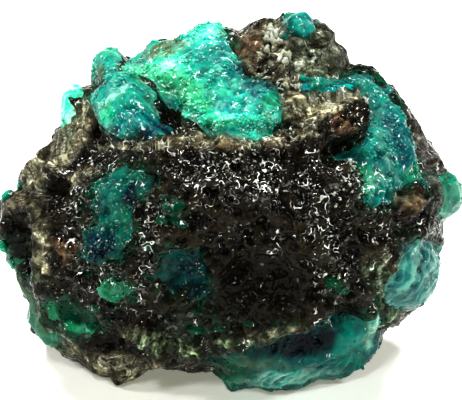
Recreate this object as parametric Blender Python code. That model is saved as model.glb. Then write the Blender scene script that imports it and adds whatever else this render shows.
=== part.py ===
"""Chrysocolla specimen: a lump of dark iron-oxide rock, broken all round, with blue-green
chrysocolla grown on its top, on its flanks and in its hollows.

The rock and each growth are separate closed solids. They are described as the specimen is
displayed: "across" to the right, "up" its display face and "out" of it, in millimetres from
the middle of the lump. The display face leans back by DISPLAY_LEAN, so that the flat break
under the lump lies level on Z = 0, with the origin in the middle of the specimen's box.
"""

import math

import bmesh
import bpy
import numpy as np
from mathutils import Vector
from mathutils.kdtree import KDTree

MM = 0.001

# --- driving dimensions, in millimetres -------------------------------------------------
DISPLAY_LEAN = math.radians(28.0)  # the display face looks this far above the horizon
BASE_DROP = 16.3  # from the middle of the lump down to the flat break that it rests on
MIDDLE = (0.03, -0.74)  # where the middle of the lump stands, along X and Y
MEAN_RADIUS = 18.5  # of the lump, to turn a spacing into an angle
BREAK_ROUNDING = 9.0  # higher makes the edges between the broken faces sharper
RIM_BAND = 0.30  # half width of the band that carries the outline's teeth, as a share of a radius
TOOTH_WIDTH = math.radians(16.0)  # the outline's teeth are what differs from its mean over this
FACING_BAND = (-2.5, 0.5)  # a feature of one side fades out over this much depth round the rim
PIT_FLOOR, PIT_EDGE = 0.45, 1.15  # a pit is level inside the first share of its size
RIDGE_FOOT = 1.6  # a ridge runs out at this many half widths

SEAM_GAP = 0.3  # between the rock and each growth
GROWTH_EDGE = 0.35  # thickness of a growth where it ends
GROWTH_RISE = 1.8  # how far inside its outline a growth reaches its full thickness
WRAP = 2.2  # a growth that passes the outline ends this far round the edge

GRAIN = ((6.5, 0.55, 11), (3.4, 0.22, 12))  # broad grain: wavelength, height, seed
CRAG_WAVELENGTH, CRAG_HEIGHT, CRAG_SEED = 4.2, 2.0, 13  # sharp crests on the bare rock
CRAG_LEVEL = 0.22  # the mean height of the crests, taken off again
RIM_CALM = 0.55  # the share of the grain that is held back at the outline

DISPLAY_SPACING = 1.08  # between the mesh points on the display side
HIDDEN_SPACING = 1.6  # and on the side away from it
SPACING_CHANGE = -0.2  # how far behind its outline the spacing widens, as a share of a radius
CHANGE_GAP = 0.04  # left free between the two spacings
CLOSEST = 0.45  # the closest that two mesh points may be, in spacings
FRONT, BACK = 1, -1

# The lump's outline as displayed, anticlockwise from its right end: across, up.
OUTLINE = (
    (23.2, 0.6), (23.1, 2.1), (21.3, 3.7), (19.8, 6.1), (17.9, 8.9), (16.5, 11.2), (16.2, 11.5),
    (13.9, 13.7), (11.9, 13.9), (11.3, 15.6), (10.4, 16.5), (10.6, 17.3), (8.9, 18.2),
    (7.3, 19.3), (5.3, 19.3), (4.7, 18.4), (2.6, 18.4), (1.0, 17.3), (-0.5, 17.7),
    (-1.3, 18.1), (-2.4, 18.0), (-3.4, 17.7), (-4.3, 17.0), (-5.3, 16.5), (-6.8, 16.4),
    (-8.1, 15.9), (-9.3, 14.6), (-10.3, 14.5), (-11.2, 15.5), (-12.0, 15.8), (-13.0, 14.9),
    (-13.6, 14.0), (-13.7, 12.0), (-14.2, 11.7), (-15.3, 11.8), (-15.8, 10.5), (-16.4, 9.6),
    (-16.4, 8.3), (-17.7, 6.5), (-18.7, 4.7), (-19.8, 4.1), (-20.3, 3.4), (-20.9, 1.5),
    (-22.1, 1.1), (-23.1, 0.0), (-23.2, -1.8), (-23.1, -3.4), (-22.7, -4.4), (-22.1, -5.4),
    (-21.4, -6.6), (-20.8, -8.3), (-20.3, -9.8), (-20.1, -11.6), (-19.3, -12.8),
    (-18.3, -13.8), (-17.4, -14.2), (-15.6, -15.3), (-13.9, -16.4), (-12.8, -17.0),
    (-11.7, -17.2), (-11.2, -17.9), (-9.4, -17.2), (-8.0, -16.3), (-5.3, -16.4),
    (-3.9, -16.7), (-1.9, -16.7), (-0.9, -17.2), (0.1, -18.5), (1.4, -18.1), (2.8, -18.1),
    (3.6, -18.5), (5.0, -18.6), (6.4, -18.4), (7.8, -17.9), (8.9, -17.4), (11.0, -17.3),
    (11.9, -16.9), (13.1, -16.0), (14.2, -15.0), (14.8, -13.6), (15.1, -12.5),
    (15.7, -12.2), (16.6, -11.9), (17.3, -11.1), (18.4, -10.4), (19.4, -9.7), (19.7, -8.9),
    (19.8, -7.7), (20.7, -6.3), (20.6, -4.9), (21.4, -3.8), (21.2, -2.4), (21.3, -1.7),
    (22.5, -0.8),
)

# The broken faces that bound the lump: which way each looks (across, up, out), and how far
# it stands from the middle.
BREAKS = (
    ((0.00, 0.62, 0.78), 13.7),  # top
    ((0.05, -0.30, 0.95), 14.2),  # display face
    ((0.75, 0.35, 0.55), 16.6),  # right shoulder
    ((-0.75, 0.15, 0.60), 16.0),  # left face
    ((0.10, -0.85, 0.50), 15.2),  # undercut below the display face
    ((0.62, -0.58, 0.50), 16.6),  # lower right
    ((-0.55, -0.65, 0.50), 16.8),  # lower left
    ((-0.50, 0.65, 0.55), 15.4),  # upper left
    ((1.00, 0.00, 0.00), 23.0),  # right end
    ((-1.00, 0.00, -0.10), 23.0),  # left end
    ((0.00, 1.00, -0.15), 18.2),  # top edge
    ((0.00, -1.00, 0.00), 18.4),  # bottom edge
    ((0.05, 0.62, -0.78), 15.6),  # back, upper
    ((-0.60, 0.15, -0.78), 16.2),  # back, left
    ((0.62, 0.00, -0.78), 17.0),  # back, right
    ((0.00, -0.15, -0.99), 16.4),  # back, lower
)

# Lumps (height above 0) and pits (below 0): side, across, up, half length, half width,
# turn in degrees, height.
SWELLS = (
    (FRONT, -9.4, 9.2, 3.8, 3.3, 20, 2.4),  # drusy dome, upper left
    (FRONT, -11.9, 13.6, 1.7, 1.5, 90, 1.2),  # knob on the left of the top edge
    (FRONT, -15.6, 9.8, 1.9, 1.0, 65, 0.8),  # small growth on the left edge
    (FRONT, -2.5, 13.5, 5.0, 2.6, 20, 0.8),  # top growth
    (FRONT, 3.4, 9.4, 3.2, 2.2, -10, 0.5),  # top growth, right half
    (FRONT, 6.7, 17.4, 1.7, 1.4, 0, 1.0),  # ball on the summit
    (FRONT, 11.3, 8.2, 2.0, 2.0, 0, 2.4),  # brown knob, upper right
    (FRONT, 14.6, 6.4, 4.2, 2.6, -60, 0.9),  # right flank
    (FRONT, 17.8, 0.2, 1.6, 1.1, 20, 0.8),  # brown lump at the right end
    (FRONT, 18.2, -6.8, 3.6, 2.2, 70, 1.1),  # growth, lower right
    (FRONT, 8.6, -10.3, 1.6, 1.4, 30, 1.3),  # dark knob, lower right
    (FRONT, 10.6, -7.4, 1.3, 1.2, 0, 0.8),
    (FRONT, -11.2, -8.2, 1.5, 1.4, 30, 1.1),  # green chip
    (FRONT, -5.5, -0.4, 1.2, 1.0, 0, 0.7),
    (FRONT, -11.0, 1.4, 2.0, 1.7, 40, 0.8),  # left pocket, upper lump
    (FRONT, -12.8, -4.2, 1.7, 1.4, 0, 0.8),  # left pocket, lower lump
    (FRONT, 1.5, 2.2, 4.5, 2.2, -5, 0.7),  # rock under the brow
    (FRONT, -17.2, -5.8, 1.5, 2.4, 20, 0.6),
    (FRONT, 4.0, -16.6, 4.0, 1.4, 5, 0.5),  # rolled rim, bottom
    (FRONT, -7.0, -14.2, 3.6, 1.2, -25, 0.9),  # spur, bottom left
    (FRONT, -20.6, -3.9, 1.5, 3.1, 14, -3.6),  # black hollow at the left end
    (FRONT, -17.5, 0.6, 1.3, 2.5, -32, -2.0),  # hollow beside it
    (FRONT, -13.1, 7.2, 1.0, 1.3, -20, -1.6),  # dark slot under the dome
    (FRONT, -6.3, 8.4, 1.5, 2.0, 25, -2.2),  # slot between dome and top growth
    (FRONT, 3.6, 13.2, 1.5, 1.0, -25, -1.5),  # hollow behind the top growth
    (FRONT, 10.6, 5.3, 2.0, 1.2, 20, -1.6),  # shadow under the brown knob
    (FRONT, -4.6, -6.8, 2.9, 2.6, -35, -1.5),  # centre pocket
    (FRONT, 2.6, -7.4, 4.6, 3.0, 0, -1.3),  # bare hollow of the display face
    (FRONT, -15.2, -11.2, 3.2, 1.5, -22, -1.5),  # bowl, lower left
    (FRONT, -12.6, -14.0, 1.8, 0.9, -10, -1.4),  # dark undercut below the bowl
    (FRONT, 11.4, -11.2, 1.5, 1.6, 0, -1.4),  # dark corner, lower right
    (FRONT, 7.2, -13.6, 3.8, 1.6, 8, -1.2),  # hollow of the underside growth
    (BACK, -12.0, 6.0, 4.5, 3.2, 25, 0.9),
    (BACK, 9.0, 8.5, 4.2, 3.0, -30, 1.0),
    (BACK, 1.0, -2.0, 4.8, 3.6, 10, 0.8),
    (BACK, -3.5, 9.5, 2.6, 2.0, 40, -1.7),
    (BACK, 14.0, -1.0, 2.8, 2.2, 65, -1.6),
    (BACK, -14.5, -2.5, 2.5, 2.0, -40, -1.5),
    (BACK, 5.0, 3.0, 2.2, 1.7, 0, -1.2),
)

# Raised ridges of rock: side, half width, height, then the line that each follows.
RIDGES = (
    (FRONT, 1.0, 0.9, ((-13.0, 6.5), (-10.0, 5.8), (-6.0, 6.2), (-2.5, 5.5), (1.0, 5.9),
                       (4.5, 5.5), (7.0, 6.5), (9.0, 8.0), (10.0, 9.3))),  # brow
    (FRONT, 0.9, 0.9, ((-16.4, 4.0), (-18.2, 2.5), (-19.0, 1.0), (-18.9, -1.0), (-18.5, -2.3),
                       (-18.6, -5.7), (-18.2, -8.5))),  # crest between the left hollows
    (FRONT, 1.1, 0.6, ((-13.5, 10.5), (-15.5, 7.5), (-18.0, 5.0), (-20.5, 2.0))),
    (FRONT, 0.9, 0.7, ((13.0, 11.5), (15.5, 9.0), (16.5, 5.0), (18.0, 1.8), (19.5, 0.5))),
    (FRONT, 0.9, 0.9, ((19.0, -2.0), (16.0, -4.0), (14.2, -6.5), (13.2, -9.5), (13.6, -11.5))),
    (FRONT, 0.9, 0.8, ((-9.5, -12.0), (-5.5, -14.2), (0.0, -13.4), (4.0, -12.3), (7.5, -11.7))),
    (FRONT, 0.8, 0.7, ((6.5, 10.8), (9.5, 10.9), (12.5, 11.2))),  # flesh-coloured band
    (FRONT, 0.9, 0.7, ((0.3, 16.0), (2.5, 15.0), (5.5, 13.5), (8.5, 12.8))),
    (BACK, 1.2, 0.8, ((-15.0, 10.0), (-8.0, 7.0), (-1.0, 6.0), (6.0, 8.0), (12.0, 5.0))),
    (BACK, 1.2, 0.8, ((-17.0, -6.0), (-9.0, -5.0), (-2.0, -8.0), (7.0, -6.0), (15.0, -8.0))),
)

# Growths of chrysocolla: side, thickness, how far the middle stands proud, and the outline.
GROWTHS = {
    "top_growth": (FRONT, 1.6, 0.5, (
        (-10.6, 14.3), (-9.0, 15.3), (-8.0, 16.4), (-5.2, 17.0), (-3.4, 18.2), (-1.3, 18.8),
        (-0.4, 17.5), (-0.3, 16.1), (0.6, 14.9), (1.1, 13.3), (2.5, 12.3), (4.7, 11.5),
        (5.1, 10.1), (4.7, 9.1), (5.0, 8.1), (3.8, 6.6), (2.4, 6.0), (1.0, 6.2), (-1.4, 6.9),
        (-3.2, 7.9), (-4.4, 8.5), (-5.0, 9.4), (-6.2, 9.7), (-7.3, 11.3), (-8.4, 12.3),
        (-10.0, 12.1), (-10.8, 13.1))),
    "dome_growth": (FRONT, 1.8, 0.4, (
        (-13.0, 10.9), (-11.8, 11.3), (-9.7, 12.3), (-8.5, 12.1), (-7.7, 11.4), (-6.8, 10.6),
        (-7.1, 9.5), (-6.9, 8.2), (-6.0, 7.3), (-6.2, 6.6), (-7.4, 6.1), (-9.1, 6.1),
        (-10.9, 6.2), (-11.7, 7.3), (-12.6, 8.6), (-13.3, 9.7))),
    "edge_knob": (FRONT, 1.4, 0.3, (
        (-13.0, 15.5), (-12.0, 16.5), (-11.0, 16.4), (-10.7, 15.0), (-10.9, 13.1),
        (-10.8, 12.4), (-12.0, 11.8), (-13.2, 11.8), (-14.2, 12.6), (-14.2, 14.4))),
    "left_edge_growth": (FRONT, 0.9, 0.3, (
        (-14.7, 11.9), (-14.2, 11.0), (-15.0, 10.0), (-15.2, 8.6), (-15.8, 7.7), (-17.2, 7.9),
        (-17.4, 9.8), (-16.6, 11.2), (-15.6, 12.4))),
    "left_pocket_growth": (FRONT, 1.2, 0.0, (
        (-11.6, 3.4), (-10.2, 3.7), (-8.6, 3.5), (-7.8, 2.9), (-8.1, 1.9), (-9.0, 0.5),
        (-9.4, -0.9), (-9.3, -2.5), (-9.8, -3.8), (-10.6, -5.1), (-12.4, -5.8), (-13.6, -5.4),
        (-14.4, -4.5), (-14.7, -3.3), (-14.5, -2.5), (-13.1, -1.9), (-13.4, -0.8),
        (-14.2, -0.1), (-13.3, 0.7), (-12.9, 1.7), (-12.3, 2.7))),
    "centre_pocket_growth": (FRONT, 1.1, -0.2, (
        (-6.8, -4.9), (-5.4, -4.4), (-3.5, -4.6), (-3.0, -6.1), (-2.1, -7.6), (-2.1, -9.1),
        (-3.1, -9.8), (-4.6, -9.2), (-6.4, -8.5), (-7.3, -7.0))),
    "green_chip": (FRONT, 1.2, 0.3, (
        (-12.3, -7.1), (-11.2, -6.6), (-9.9, -7.4), (-9.6, -8.5), (-10.4, -9.2), (-11.1, -9.9),
        (-11.8, -8.9), (-12.4, -8.0))),
    "bowl_growth": (FRONT, 1.0, 0.0, (
        (-18.8, -10.3), (-18.1, -9.4), (-17.0, -9.7), (-15.8, -10.3), (-13.8, -11.0),
        (-12.6, -12.0), (-12.9, -12.8), (-14.2, -13.2), (-15.3, -13.3), (-16.4, -12.7),
        (-17.6, -12.1), (-18.4, -11.3))),
    "underside_growth": (FRONT, 1.3, 0.2, (
        (-2.4, -14.7), (-0.2, -14.2), (3.2, -13.1), (4.6, -12.4), (7.2, -11.9), (9.6, -11.8),
        (11.4, -11.7), (13.0, -10.7), (14.4, -9.7), (15.2, -11.3), (15.1, -12.8),
        (15.6, -14.5), (14.4, -16.5), (12.0, -18.5), (9.0, -18.5), (6.5, -19.5), (3.2, -19.5),
        (0.2, -19.5), (-1.0, -17.5), (-2.2, -16.1))),
    "lower_right_growth": (FRONT, 1.4, 0.4, (
        (16.2, -3.9), (17.8, -3.1), (19.8, -3.4), (21.8, -4.3), (22.0, -6.3), (21.2, -7.7),
        (21.0, -9.1), (18.6, -10.9), (16.4, -10.5), (15.5, -9.6), (14.9, -8.2), (15.3, -6.5),
        (15.7, -5.0))),
    "right_flank_growth": (FRONT, 1.5, 0.4, (
        (7.1, 12.3), (8.7, 12.6), (11.0, 12.5), (12.2, 13.4), (13.8, 12.8), (15.8, 11.9),
        (16.6, 10.1), (17.2, 8.4), (17.5, 6.7), (18.0, 5.1), (19.1, 3.5), (19.3, 1.3),
        (18.4, 2.1), (16.8, 2.4), (16.4, 0.8), (15.7, 0.1), (14.1, -0.3), (12.8, 0.2),
        (12.6, 1.3), (13.6, 2.9), (13.0, 3.9), (11.8, 4.8), (10.9, 5.1), (11.8, 5.9),
        (13.0, 6.4), (13.2, 8.3), (13.5, 9.7), (12.7, 10.8), (11.0, 11.3), (9.6, 11.1),
        (7.5, 10.8))),
    "right_end_knob": (FRONT, 1.3, 0.3, (
        (20.9, 2.9), (22.2, 3.6), (24.0, 2.8), (24.2, -0.2), (22.8, -1.4), (21.4, -1.8),
        (20.8, -0.9), (21.4, 0.6))),
    "summit_ball": (FRONT, 1.2, 0.3, (
        (5.1, 18.3), (5.5, 19.6), (6.6, 20.0), (8.0, 19.8), (8.5, 18.4), (8.0, 17.4),
        (6.6, 16.7), (5.5, 17.2))),
    "left_rim_growth": (FRONT, 0.7, 0.1, (
        (-22.4, -3.6), (-21.6, -5.6), (-20.7, -8.0), (-19.9, -9.6), (-19.3, -11.0),
        (-18.1, -12.6), (-16.9, -13.7), (-17.4, -15.4), (-19.6, -14.6), (-21.5, -12.0),
        (-22.4, -8.0), (-24.0, -4.6), (-24.0, -3.0))),
    "back_crest_growth": (BACK, 1.4, 0.4, (
        (-13.5, 9.5), (-9.0, 11.5), (-5.5, 9.0), (-6.5, 5.5), (-10.0, 3.0), (-14.0, 3.5),
        (-16.0, 6.5))),
    "back_right_growth": (BACK, 1.4, 0.3, (
        (6.0, 10.5), (10.5, 11.5), (13.5, 8.5), (12.5, 5.0), (9.0, 4.0), (6.5, 6.5))),
    "back_pocket_growth": (BACK, 1.1, -0.2, (
        (-4.5, 0.5), (-1.0, 2.5), (3.0, 1.5), (5.5, -1.5), (3.5, -4.5), (-1.0, -5.5),
        (-4.5, -3.5))),
    "back_corner_growth": (BACK, 1.2, 0.3, (
        (10.5, -8.5), (14.5, -6.5), (17.0, -8.5), (15.0, -11.5), (11.5, -12.0))),
}

ROCK_COLOUR = (0.045, 0.030, 0.020, 1.0)
GROWTH_COLOUR = (0.010, 0.330, 0.290, 1.0)


# --- the form ------------------------------------------------------------------------------
def smooth_step(low, high, value):
    """0 below low, 1 above high, and a smooth rise between them."""
    share = np.clip((value - low) / (high - low), 0.0, 1.0)
    return share * share * (3.0 - 2.0 * share)


def lattice_noise(points, seed):
    """Gradient noise, about -1 to 1: each lattice corner has a random slope, and the slopes
    are blended over the cell with the quintic fade."""
    rng = np.random.default_rng(seed)
    order = rng.permutation(256)
    slopes = rng.normal(size=(256, 3))
    slopes /= np.linalg.norm(slopes, axis=1)[:, None]
    cell = np.floor(points).astype(int)
    inside = points - cell
    fade = inside**3 * (inside * (inside * 6.0 - 15.0) + 10.0)
    total = np.zeros(len(points))
    for corner in np.ndindex(2, 2, 2):
        at = (cell + corner) & 255
        pick = order[(order[(order[at[:, 0]] + at[:, 1]) & 255] + at[:, 2]) & 255]
        share = np.where(corner, fade, 1.0 - fade).prod(axis=1)
        total += share * ((inside - corner) * slopes[pick]).sum(axis=1)
    return total * 1.6


def unit(vectors):
    """The vectors at length 1."""
    return vectors / np.linalg.norm(vectors, axis=1)[:, None]


def outline_radius(angle):
    """Distance from the middle to OUTLINE at this angle, straight between its points."""
    points = np.array(OUTLINE)
    turns = np.arctan2(points[:, 1], points[:, 0])
    order = np.argsort(turns)
    return np.interp(angle, turns[order], np.hypot(*points.T)[order], period=2.0 * math.pi)


def broad_outline_radius(angle):
    """The outline with its teeth averaged away over TOOTH_WIDTH to each side."""
    places = np.linspace(-1.0, 1.0, 9)
    weights = 1.0 - 0.7 * places**2
    rings = [weight * outline_radius(angle + place * TOOTH_WIDTH)
             for place, weight in zip(places, weights)]
    return sum(rings) / weights.sum()


def break_radius(directions):
    """Distance to the broken faces: the reciprocal of a high-power mean of direction . normal
    over distance, which is a polyhedron with its edges rounded."""
    normals = unit(np.array([normal for normal, _ in BREAKS]))
    distances = np.array([distance for _, distance in BREAKS])
    reach = np.maximum(directions @ normals.T / distances, 0.0)
    return (reach**BREAK_ROUNDING).sum(axis=1) ** (-1.0 / BREAK_ROUNDING)


def body_points(directions):
    """The bare lump: the broken faces, fitted to the outline where the surface turns away
    from the display side."""
    angle = np.arctan2(directions[:, 1], directions[:, 0])
    rim = np.stack([np.cos(angle), np.sin(angle), np.zeros(len(angle))], axis=1)
    aside = np.hypot(directions[:, 0], directions[:, 1])
    broad = broad_outline_radius(angle)
    fit = broad / break_radius(rim)
    radius = break_radius(directions) * (1.0 + (fit - 1.0) * aside**2)
    teeth = outline_radius(angle) - broad
    radius += teeth * np.exp(-((directions[:, 2] / RIM_BAND) ** 2))
    widest = outline_radius(angle) / np.maximum(aside, 1e-6)
    return directions * np.minimum(radius, widest)[:, None]


def facing(points, side):
    """1 on this side of the lump, falling to 0 just round its outline."""
    return smooth_step(*FACING_BAND, side * points[:, 2])


def swell_height(points):
    """All lumps and pits: a lump is a flattened dome, and a pit has a level floor."""
    total = np.zeros(len(points))
    for side, across, up, half_length, half_width, turn, height in SWELLS:
        c, s = math.cos(math.radians(turn)), math.sin(math.radians(turn))
        x, y = points[:, 0] - across, points[:, 1] - up
        q = np.hypot((x * c + y * s) / half_length, (y * c - x * s) / half_width)
        if height > 0.0:
            shape = np.clip(1.0 - q * q, 0.0, 1.0) ** 0.8
        else:
            shape = 1.0 - smooth_step(PIT_FLOOR, PIT_EDGE, q)
        total += height * shape * facing(points, side)
    return total


def line_distance(points, line, closed=False):
    """Distance in the display plane to a line through these points."""
    nearest = np.full(len(points), np.inf)
    ends = line[1:] + (line[:1] if closed else ())
    for start, end in zip(line, ends):
        along = np.subtract(end, start)
        offset = points[:, :2] - start
        share = np.clip(offset @ along / (along @ along), 0.0, 1.0)
        nearest = np.minimum(nearest, np.hypot(*(offset - share[:, None] * along).T))
    return nearest


def ridge_height(points):
    """All ridges: each is highest on its line and smooth to its half width."""
    total = np.zeros(len(points))
    for side, half_width, height, line in RIDGES:
        q = np.clip(line_distance(points, line) / (RIDGE_FOOT * half_width), 0.0, 1.0)
        total = np.maximum(total, height * (1.0 - q * q) ** 2 * facing(points, side))
    return total


def inside_outline(points, outline):
    """Whether each point lies within a closed outline, by counting the edges it passes."""
    within = np.zeros(len(points), bool)
    x, y = points[:, 0], points[:, 1]
    for (ax, ay), (bx, by) in zip(outline, outline[1:] + outline[:1]):
        spans = (ay > y) != (by > y)
        crossing = ax + (y - ay) * (bx - ax) / (by - ay if by != ay else 1.0)
        within ^= spans & (x < crossing)
    return within


def growth_depth(points, name):
    """How far inside a growth's outline each point is, in millimetres; below 0 is outside."""
    side, _, _, outline = GROWTHS[name]
    distance = line_distance(points, outline, closed=True)
    depth = np.where(inside_outline(points, outline), distance, -distance)
    return np.minimum(depth, side * points[:, 2] + WRAP)


def growth_thickness(depth, thickness):
    """Thin at the outline of a growth, and its full thickness GROWTH_RISE inside."""
    return GROWTH_EDGE + (thickness - GROWTH_EDGE) * smooth_step(0.0, GROWTH_RISE, depth)


def grain_height(bare, overgrown):
    """The stone's grain: broad noise everywhere, and sharp crests where no growth covers it."""
    total = sum(height * lattice_noise(bare / wavelength + 40.0, seed)
                for wavelength, height, seed in GRAIN)
    crests = CRAG_LEVEL - np.abs(lattice_noise(bare / CRAG_WAVELENGTH + 40.0, CRAG_SEED))
    total += CRAG_HEIGHT * crests * (1.0 - overgrown)
    rim = np.exp(-((bare[:, 2] / (RIM_BAND * MEAN_RADIUS)) ** 2))
    return total * (1.0 - RIM_CALM * rim)


def outer_radius(directions):
    """Distance from the middle to the finished outside: the bare lump with its lumps, pits,
    ridges and grain, each growth standing proud, and the flat break below."""
    bare = body_points(directions)
    radius = np.linalg.norm(bare, axis=1) + swell_height(bare) + ridge_height(bare)
    overgrown = np.zeros(len(radius))
    for name, (_, _, proud, _) in GROWTHS.items():
        inside = smooth_step(0.0, GROWTH_RISE, growth_depth(bare, name))
        radius += proud * inside
        overgrown = np.maximum(overgrown, inside)
    radius += grain_height(bare, overgrown)
    down = -directions @ np.array([0.0, math.cos(DISPLAY_LEAN), math.sin(DISPLAY_LEAN)])
    return np.where(down * radius > BASE_DROP, BASE_DROP / np.maximum(down, 1e-6), radius)


# --- the mesh ------------------------------------------------------------------------------
def spiral_directions(count):
    """Directions spread evenly over the sphere along a golden-angle spiral."""
    step = np.arange(count) + 0.5
    out = 1.0 - 2.0 * step / count
    turn = step * math.pi * (3.0 - math.sqrt(5.0))
    aside = np.sqrt(1.0 - out * out)
    return np.stack([aside * np.cos(turn), aside * np.sin(turn), out], axis=1)


def mesh_directions():
    """Closely spaced directions on the display side and wider ones behind it."""
    mean_area = 4.0 * math.pi * MEAN_RADIUS**2
    close = spiral_directions(round(mean_area / DISPLAY_SPACING**2))
    wide = spiral_directions(round(mean_area / HIDDEN_SPACING**2))
    return np.concatenate([close[close[:, 2] > SPACING_CHANGE],
                           wide[wide[:, 2] < SPACING_CHANGE - CHANGE_GAP]])


def depth_slope(directions, name):
    """The depth inside a growth's outline, and how fast it changes as a direction turns."""
    nudge = 1e-3
    depth = growth_depth(body_points(directions), name)
    slope = np.zeros_like(directions)
    for axis in range(3):
        aside = directions.copy()
        aside[:, axis] += nudge
        slope[:, axis] = (growth_depth(body_points(unit(aside)), name) - depth) / nudge
    return depth, slope


def settle_on_outlines(directions):
    """Moves each direction that is near a growth's outline onto it, down the slope of the
    depth, so that the mesh follows the outline. The directions moved come first."""
    reach = np.where(directions[:, 2] > SPACING_CHANGE, DISPLAY_SPACING, HIDDEN_SPACING)
    reach *= 0.5 / MEAN_RADIUS
    settled = np.zeros(len(directions), bool)
    for name in GROWTHS:
        depth, slope = depth_slope(directions, name)
        steep = np.maximum(np.linalg.norm(slope, axis=1), 2.0)
        near = np.flatnonzero(np.abs(depth) / steep < reach)
        settled[near] = True
        for _ in range(3):
            depth, slope = depth_slope(directions[near], name)
            steep = np.maximum((slope**2).sum(axis=1), 4.0)
            directions[near] = unit(directions[near] - slope * (depth / steep)[:, None])
    return directions[np.argsort(~settled, kind="stable")]


def spread_out(directions):
    """Drops each direction that has come too close to an earlier one."""
    tree = KDTree(len(directions))
    for index, direction in enumerate(directions):
        tree.insert(Vector(direction), index)
    tree.balance()
    dropped = set()
    for index, direction in enumerate(directions):
        if index in dropped:
            continue
        spacing = DISPLAY_SPACING if direction[2] > SPACING_CHANGE else HIDDEN_SPACING
        near = tree.find_range(Vector(direction), CLOSEST * spacing / MEAN_RADIUS)
        dropped.update(other for _, other, _ in near if other > index)
    return directions[[index for index in range(len(directions)) if index not in dropped]]


def sphere_faces(directions):
    """Triangles that join the directions: their convex hull on the unit sphere."""
    ball = bmesh.new()
    for index, direction in enumerate(directions):
        ball.verts.new(direction).index = index
    ball.verts.ensure_lookup_table()
    bmesh.ops.convex_hull(ball, input=ball.verts)
    faces = np.array([[corner.index for corner in face.verts] for face in ball.faces])
    ball.free()
    a, b, c = (directions[faces[:, k]] for k in range(3))
    inward = (np.cross(b - a, c - a) * a).sum(axis=1) < 0.0
    faces[inward] = faces[inward][:, ::-1]
    return faces


def whole_patch(faces):
    """The largest joined set of these faces, without faces that hang on by one corner."""
    faces = [tuple(face) for face in faces]
    while True:
        edges = {}
        for index, face in enumerate(faces):
            for k in range(3):
                edges.setdefault(frozenset((face[k], face[k - 2])), []).append(index)
        group = list(range(len(faces)))
        for joined in edges.values():
            if len(joined) == 2:
                a, b = (group[index] for index in joined)
                if a != b:
                    group = [a if g == b else g for g in group]
        largest = max(set(group), key=group.count)
        rim_ends = [end for edge, joined in edges.items() if len(joined) == 1 for end in edge]
        pinched = {end for end in set(rim_ends) if rim_ends.count(end) > 2}
        kept = [face for face, g in zip(faces, group) if g == largest and not pinched & set(face)]
        if len(kept) == len(faces):
            return np.array(faces)
        faces = kept


def place(points):
    """From millimetres across, up and out of the display face to world metres."""
    c, s = math.cos(DISPLAY_LEAN), math.sin(DISPLAY_LEAN)
    across, up, out = points.T
    world = np.stack([across + MIDDLE[0], up * s - out * c + MIDDLE[1],
                      up * c + out * s + BASE_DROP], axis=1)
    return world * MM


def plain_material(name, colour, roughness):
    material = bpy.data.materials.new(name)
    material.use_nodes = True
    shader = material.node_tree.nodes["Principled BSDF"]
    shader.inputs["Base Color"].default_value = colour
    shader.inputs["Roughness"].default_value = roughness
    shader.inputs["Metallic"].default_value = 0.0
    material.diffuse_color = colour
    return material


def add_solid(name, points, faces, material):
    mesh = bpy.data.meshes.new(name)
    mesh.from_pydata(place(points).tolist(), [], faces.tolist())
    mesh.materials.append(material)
    mesh.shade_smooth()
    solid = bpy.data.objects.new(name, mesh)
    bpy.context.scene.collection.objects.link(solid)
    return solid


def growth_solid(directions, faces, outer, cover):
    """A growth's skin, its underside one thickness below, and the wall that joins them."""
    used, local = np.unique(faces, return_inverse=True)
    top = local.reshape(-1, 3)
    count = len(used)
    points = np.concatenate([directions[used] * outer[used, None],
                             directions[used] * (outer - cover)[used, None]])
    pairs = np.concatenate([top[:, [0, 1]], top[:, [1, 2]], top[:, [2, 0]]])
    known = {tuple(pair) for pair in pairs.tolist()}
    rim = np.array([pair for pair in pairs.tolist() if (pair[1], pair[0]) not in known])
    a, b = rim.T
    walls = np.concatenate([np.stack([a, a + count, b], axis=1),
                            np.stack([b, a + count, b + count], axis=1)])
    return points, np.concatenate([top, top[:, ::-1] + count, walls])


def build():
    for old in list(bpy.data.objects):
        bpy.data.objects.remove(old)
    rock_material = plain_material("iron_rock", ROCK_COLOUR, 0.35)
    growth_material = plain_material("chrysocolla", GROWTH_COLOUR, 0.2)
    directions = spread_out(settle_on_outlines(mesh_directions()))
    faces = sphere_faces(directions)
    bare = body_points(directions)
    outer = outer_radius(directions)
    face_middles = body_points(unit(directions[faces].mean(axis=1)))
    taken = np.zeros(len(faces), bool)
    covered = np.zeros(len(directions))
    for name, (_, thickness, _, _) in GROWTHS.items():
        within = growth_depth(face_middles, name) > 0.0
        patch = whole_patch(faces[within & ~taken])
        cover = growth_thickness(growth_depth(bare, name), thickness)
        points, shell = growth_solid(directions, patch, outer, cover)
        add_solid(name, points, shell, growth_material)
        used = np.unique(patch)
        covered[used] = np.maximum(covered[used], cover[used] + SEAM_GAP)
        taken |= within
    add_solid("iron_rock", directions * (outer - covered)[:, None], faces, rock_material)


build()
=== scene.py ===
"""The looks of the chrysocolla specimen: dark, glassy iron-oxide rock with blue-green growths of
chrysocolla, their drusy crystals, and the light and camera that show them.

The rock and every growth are drawn over directions from the middle of the lump. A direction's
distance to the outside is the same rule as in the solids, and fine lumps, pits and crests are
added to it. Lengths are millimetres along three lines: "across" to the right, "up" the display
face and "out" of it. place() turns them into the frame's metres.
"""

import math

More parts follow.
